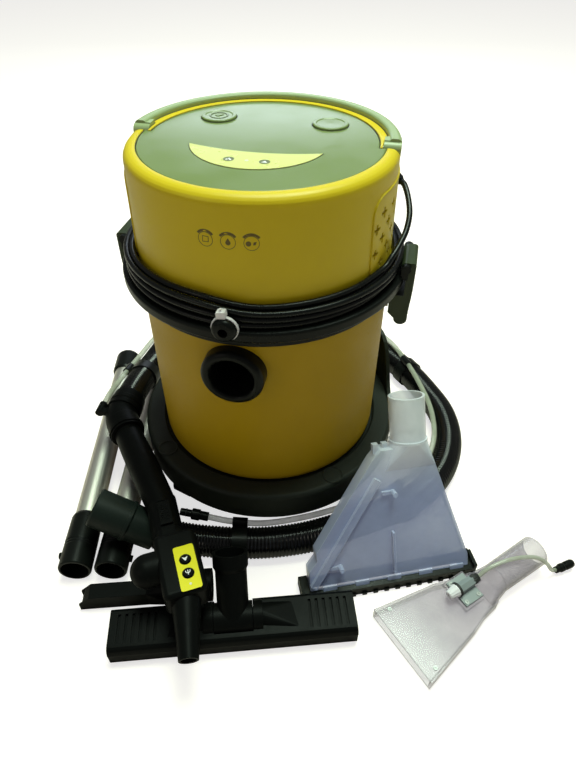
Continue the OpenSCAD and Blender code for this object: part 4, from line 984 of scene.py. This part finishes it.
def clear_plastic(name, colour, roughness, clear, cloudy, edge_colour, size=40.0, round_edge=0.8,
                  edge_share=0.7, neck=None):
    """neck is (colour, low, high): the colour above a height that runs from low to high."""
    material, tree, shader = new_material(name)
    edges = use(tree, wear, Radius=round_edge * MM, Amount=0.0)
    slant = add_node(tree, "LayerWeight", {"Blend": 0.25}).outputs["Facing"]
    thick = sum_of(tree, "MAXIMUM", sum_of(tree, "MULTIPLY", edges["Edge"], edge_share), slant)
    base = use(tree, tone, Colour=(*colour, 1), Drift=0.06)["Colour"]
    if neck:
        base = mix(tree, use(tree, height, Low=neck[1], High=neck[2])["Share"], base, (*neck[0], 1))
    base = mix(tree, thick, base, (*edge_colour, 1))
    cloudiness = use(tree, cloud, Clear=clear, Cloudy=cloudy, Size=size, Thick=thick)
    connect(tree, shader, {"Coat Weight": 0.5, "Coat Roughness": 0.12, "Alpha": cloudiness["Alpha"]})
    dress(tree, shader, base, roughness, use(tree, grain, Size=1.5)["Height"], 0.006, edges["Normal"])
    return material


milky = clear_plastic("milky polypropylene", (0.48, 0.535, 0.86), 0.33, 0.43, 0.50, (0.85, 0.90, 1.0),
                      neck=((0.93, 0.97, 1.0), 0.10, 0.20))
acrylic = clear_plastic("clear acrylic", (0.42, 0.335, 0.41), 0.2, 0.24, 0.30, (0.30, 0.31, 0.34),
                        edge_share=0.9)
vinyl = clear_plastic("clear vinyl", (0.55, 0.57, 0.45), 0.2, 0.45, 0.6, (0.5, 0.52, 0.42), size=12.0,
                      round_edge=0.1)
print("clear plastics ready")

# %% [markdown]
# Every CAD node now gets its finish. A dictionary from material to nodes keeps the whole dressing
# in one place.

# %% Dress the CAD nodes
def starting(words):
    return [name for name in nodes if name.startswith(words)]


FINISHES = {
    head_yellow: ["head_shell", "vent_grilles"],
    shaded_tank_yellow: ["tank"],
    panel_green: ["top_panel", "power_button", "pump_button"],
    handle_green: ["carry_handle"],
    strip_yellow: ["crescent_panel"],
    base_grey: ["base_ring"],
    latch_black: ["latch_left", "latch_right"],
    satin_black: ["suction_inlet", "clamp_band", "water_outlet", "cord_gland", "motor_plate",
                  "left_tube_sleeves", "right_tube_sleeves", "carpet_nozzle_foot", "hose_fittings",
                  "quick_connector", *starting("caster_fork")],
    gun_black: ["gun_body", "swivel_collar", "gun_vacuum_button", "gun_water_button", "air_slider",
                "crevice_tool", "floor_nozzle", "floor_nozzle_neck"],
    cuff_black: ["hose_cuff"],
    plug_black: ["power_plug"],
    tread_grey: starting("caster_wheels"),
    seal_and_gap_shade_black: ["seals"],
    foam_grey: ["foam_filter"],
    natural_white: ["clean_water_container", "float_cage", "float_ball"],
    valve_grey: ["spray_valve", "water_pump"],
    board_green: ["control_board"],
    bare_steel: ["motor", "fan_cover", "fan_rotor", "pivot_pins"],
    left_aluminium: ["left_tube"],
    right_aluminium: ["right_tube"],
    milky: ["carpet_nozzle"],
    acrylic: ["upholstery_nozzle"],
    ribbed_black: ["suction_hose"],
    vinyl: ["water_tube", "spray_tube"],
    sheath_black: ["power_cord_winding", "power_cord_ends"],
}
for material, names in FINISHES.items():
    for name in names:
        nodes[name].data.materials.clear()
        nodes[name].data.materials.append(material)
print("nodes without a finish:", sorted(set(nodes) - {n for names in FINISHES.values() for n in names}))

# %% [markdown]
# The pieces made here share those finishes, so the painted shade of a seam is as black as the
# seals, and a bead as yellow as the shell it stands on.

# %% Dress the new pieces
PIECE_FINISHES = {
    ribbed_black: [hose], sheath_black: [mains_lead], vinyl: [water_tube, spray_tube],
    seal_and_gap_shade_black: [water_seal, lid_gap_shade_ring, panel_seam_shade, handle_seam_shade, power_lines, jet_ring, tube_nut],
    label_yellow: [gun_label], nylon_white: [vacuum_sign, water_sign, strip_signs, cable_tie, jet_cap],
    lamp_white: [gun_lamp, strip_lamp], sign_olive: [strip_discs], panel_green: [power_sign],
    sign_brown: head_signs, head_yellow: beads, satin_black: [gland_ribs, *hub_caps],
    base_grey: boss_rings, screw_steel: screws,
}
for material, pieces in PIECE_FINISHES.items():
    for piece in pieces:
        piece.data.materials.append(material)
print(sum(len(pieces) for pieces in PIECE_FINISHES.values()), "new pieces dressed")

# %% [markdown]
# The stage is a plain pale floor. It adds light of its own for camera and transmission rays, which
# keeps it near white without lighting the machine more. Glossy rays are left out, because a glowing
# floor greys the black plastics. The world is full white for the camera, and a dim fill otherwise.

# %% Floor and world
scene = bpy.context.scene
scene.view_settings.view_transform = "Standard"
WHITE, GLOW, FILL, FLOOR_REACH = (1, 1, 1, 1), 0.7, 0.14, 12

floor_mesh = bpy.data.meshes.new("floor")
corners = [(x * FLOOR_REACH, y * FLOOR_REACH, 0) for x, y in ((-1, -1), (1, -1), (1, 1), (-1, 1))]
floor_mesh.from_pydata(corners, [], [(0, 1, 2, 3)])
add_object("floor", floor_mesh)
floor_white, tree, shader = new_material("floor white")
rays = add_node(tree, "LightPath").outputs
seen = sum_of(tree, "MAXIMUM", rays["Is Camera Ray"], rays["Is Transmission Ray"])
connect(tree, shader, {"Base Color": (0.72, 0.62, 0.55, 1), "Roughness": 0.9, "Specular IOR Level": 0.1,
                       "Emission Color": WHITE, "Emission Strength": sum_of(tree, "MULTIPLY", seen, GLOW)})
floor_mesh.materials.append(floor_white)

world = bpy.data.worlds.new("world")
scene.world = world
world.use_nodes = True
tree = world.node_tree
rays = add_node(tree, "LightPath").outputs
strength = remap(tree, rays["Is Camera Ray"], 0.0, 1.0, FILL, 1.0)
connect(tree, tree.nodes["Background"], {"Color": WHITE, "Strength": strength})
print("floor and world ready")

# %% [markdown]
# Three soft lamps light the machine. A broad one overhead is the main light, as in a room, so
# surfaces that face up are the brightest. A wide one, low behind, is like a window and lays a pale
# sheen on the lid. A dim warm one stands in front on the left.

# %% Lamps
def add_lamp(name, place, aim, size, power, colour):
    """size is the width and the height of a round or oval lamp."""
    data = bpy.data.lights.new(name, "AREA")
    data.color = colour
    data.shape = "ELLIPSE"
    data.size, data.size_y = size
    data.energy = power
    lamp = add_object(name, data)
    lamp.location = place
    lamp.rotation_euler = (Vector(aim) - Vector(place)).to_track_quat("-Z", "Y").to_euler()


add_lamp("overhead", (0.2, 0.5, 2.8), (0, 0, 0.3), (1.4, 1.4), 82, (0.80, 1.0, 0.82))
add_lamp("window", (-0.55, 2.4, 1.05), (0, 0, 0.45), (1.7, 0.5), 6.8, (0.78, 0.89, 1.0))
add_lamp("front left", (-1.8, -2.2, 1.6), (0, -0.1, 0.25), (1.2, 1.2), 5, (1.0, 0.93, 0.80))
print("lamps", [lamp.name for lamp in bpy.data.lights])
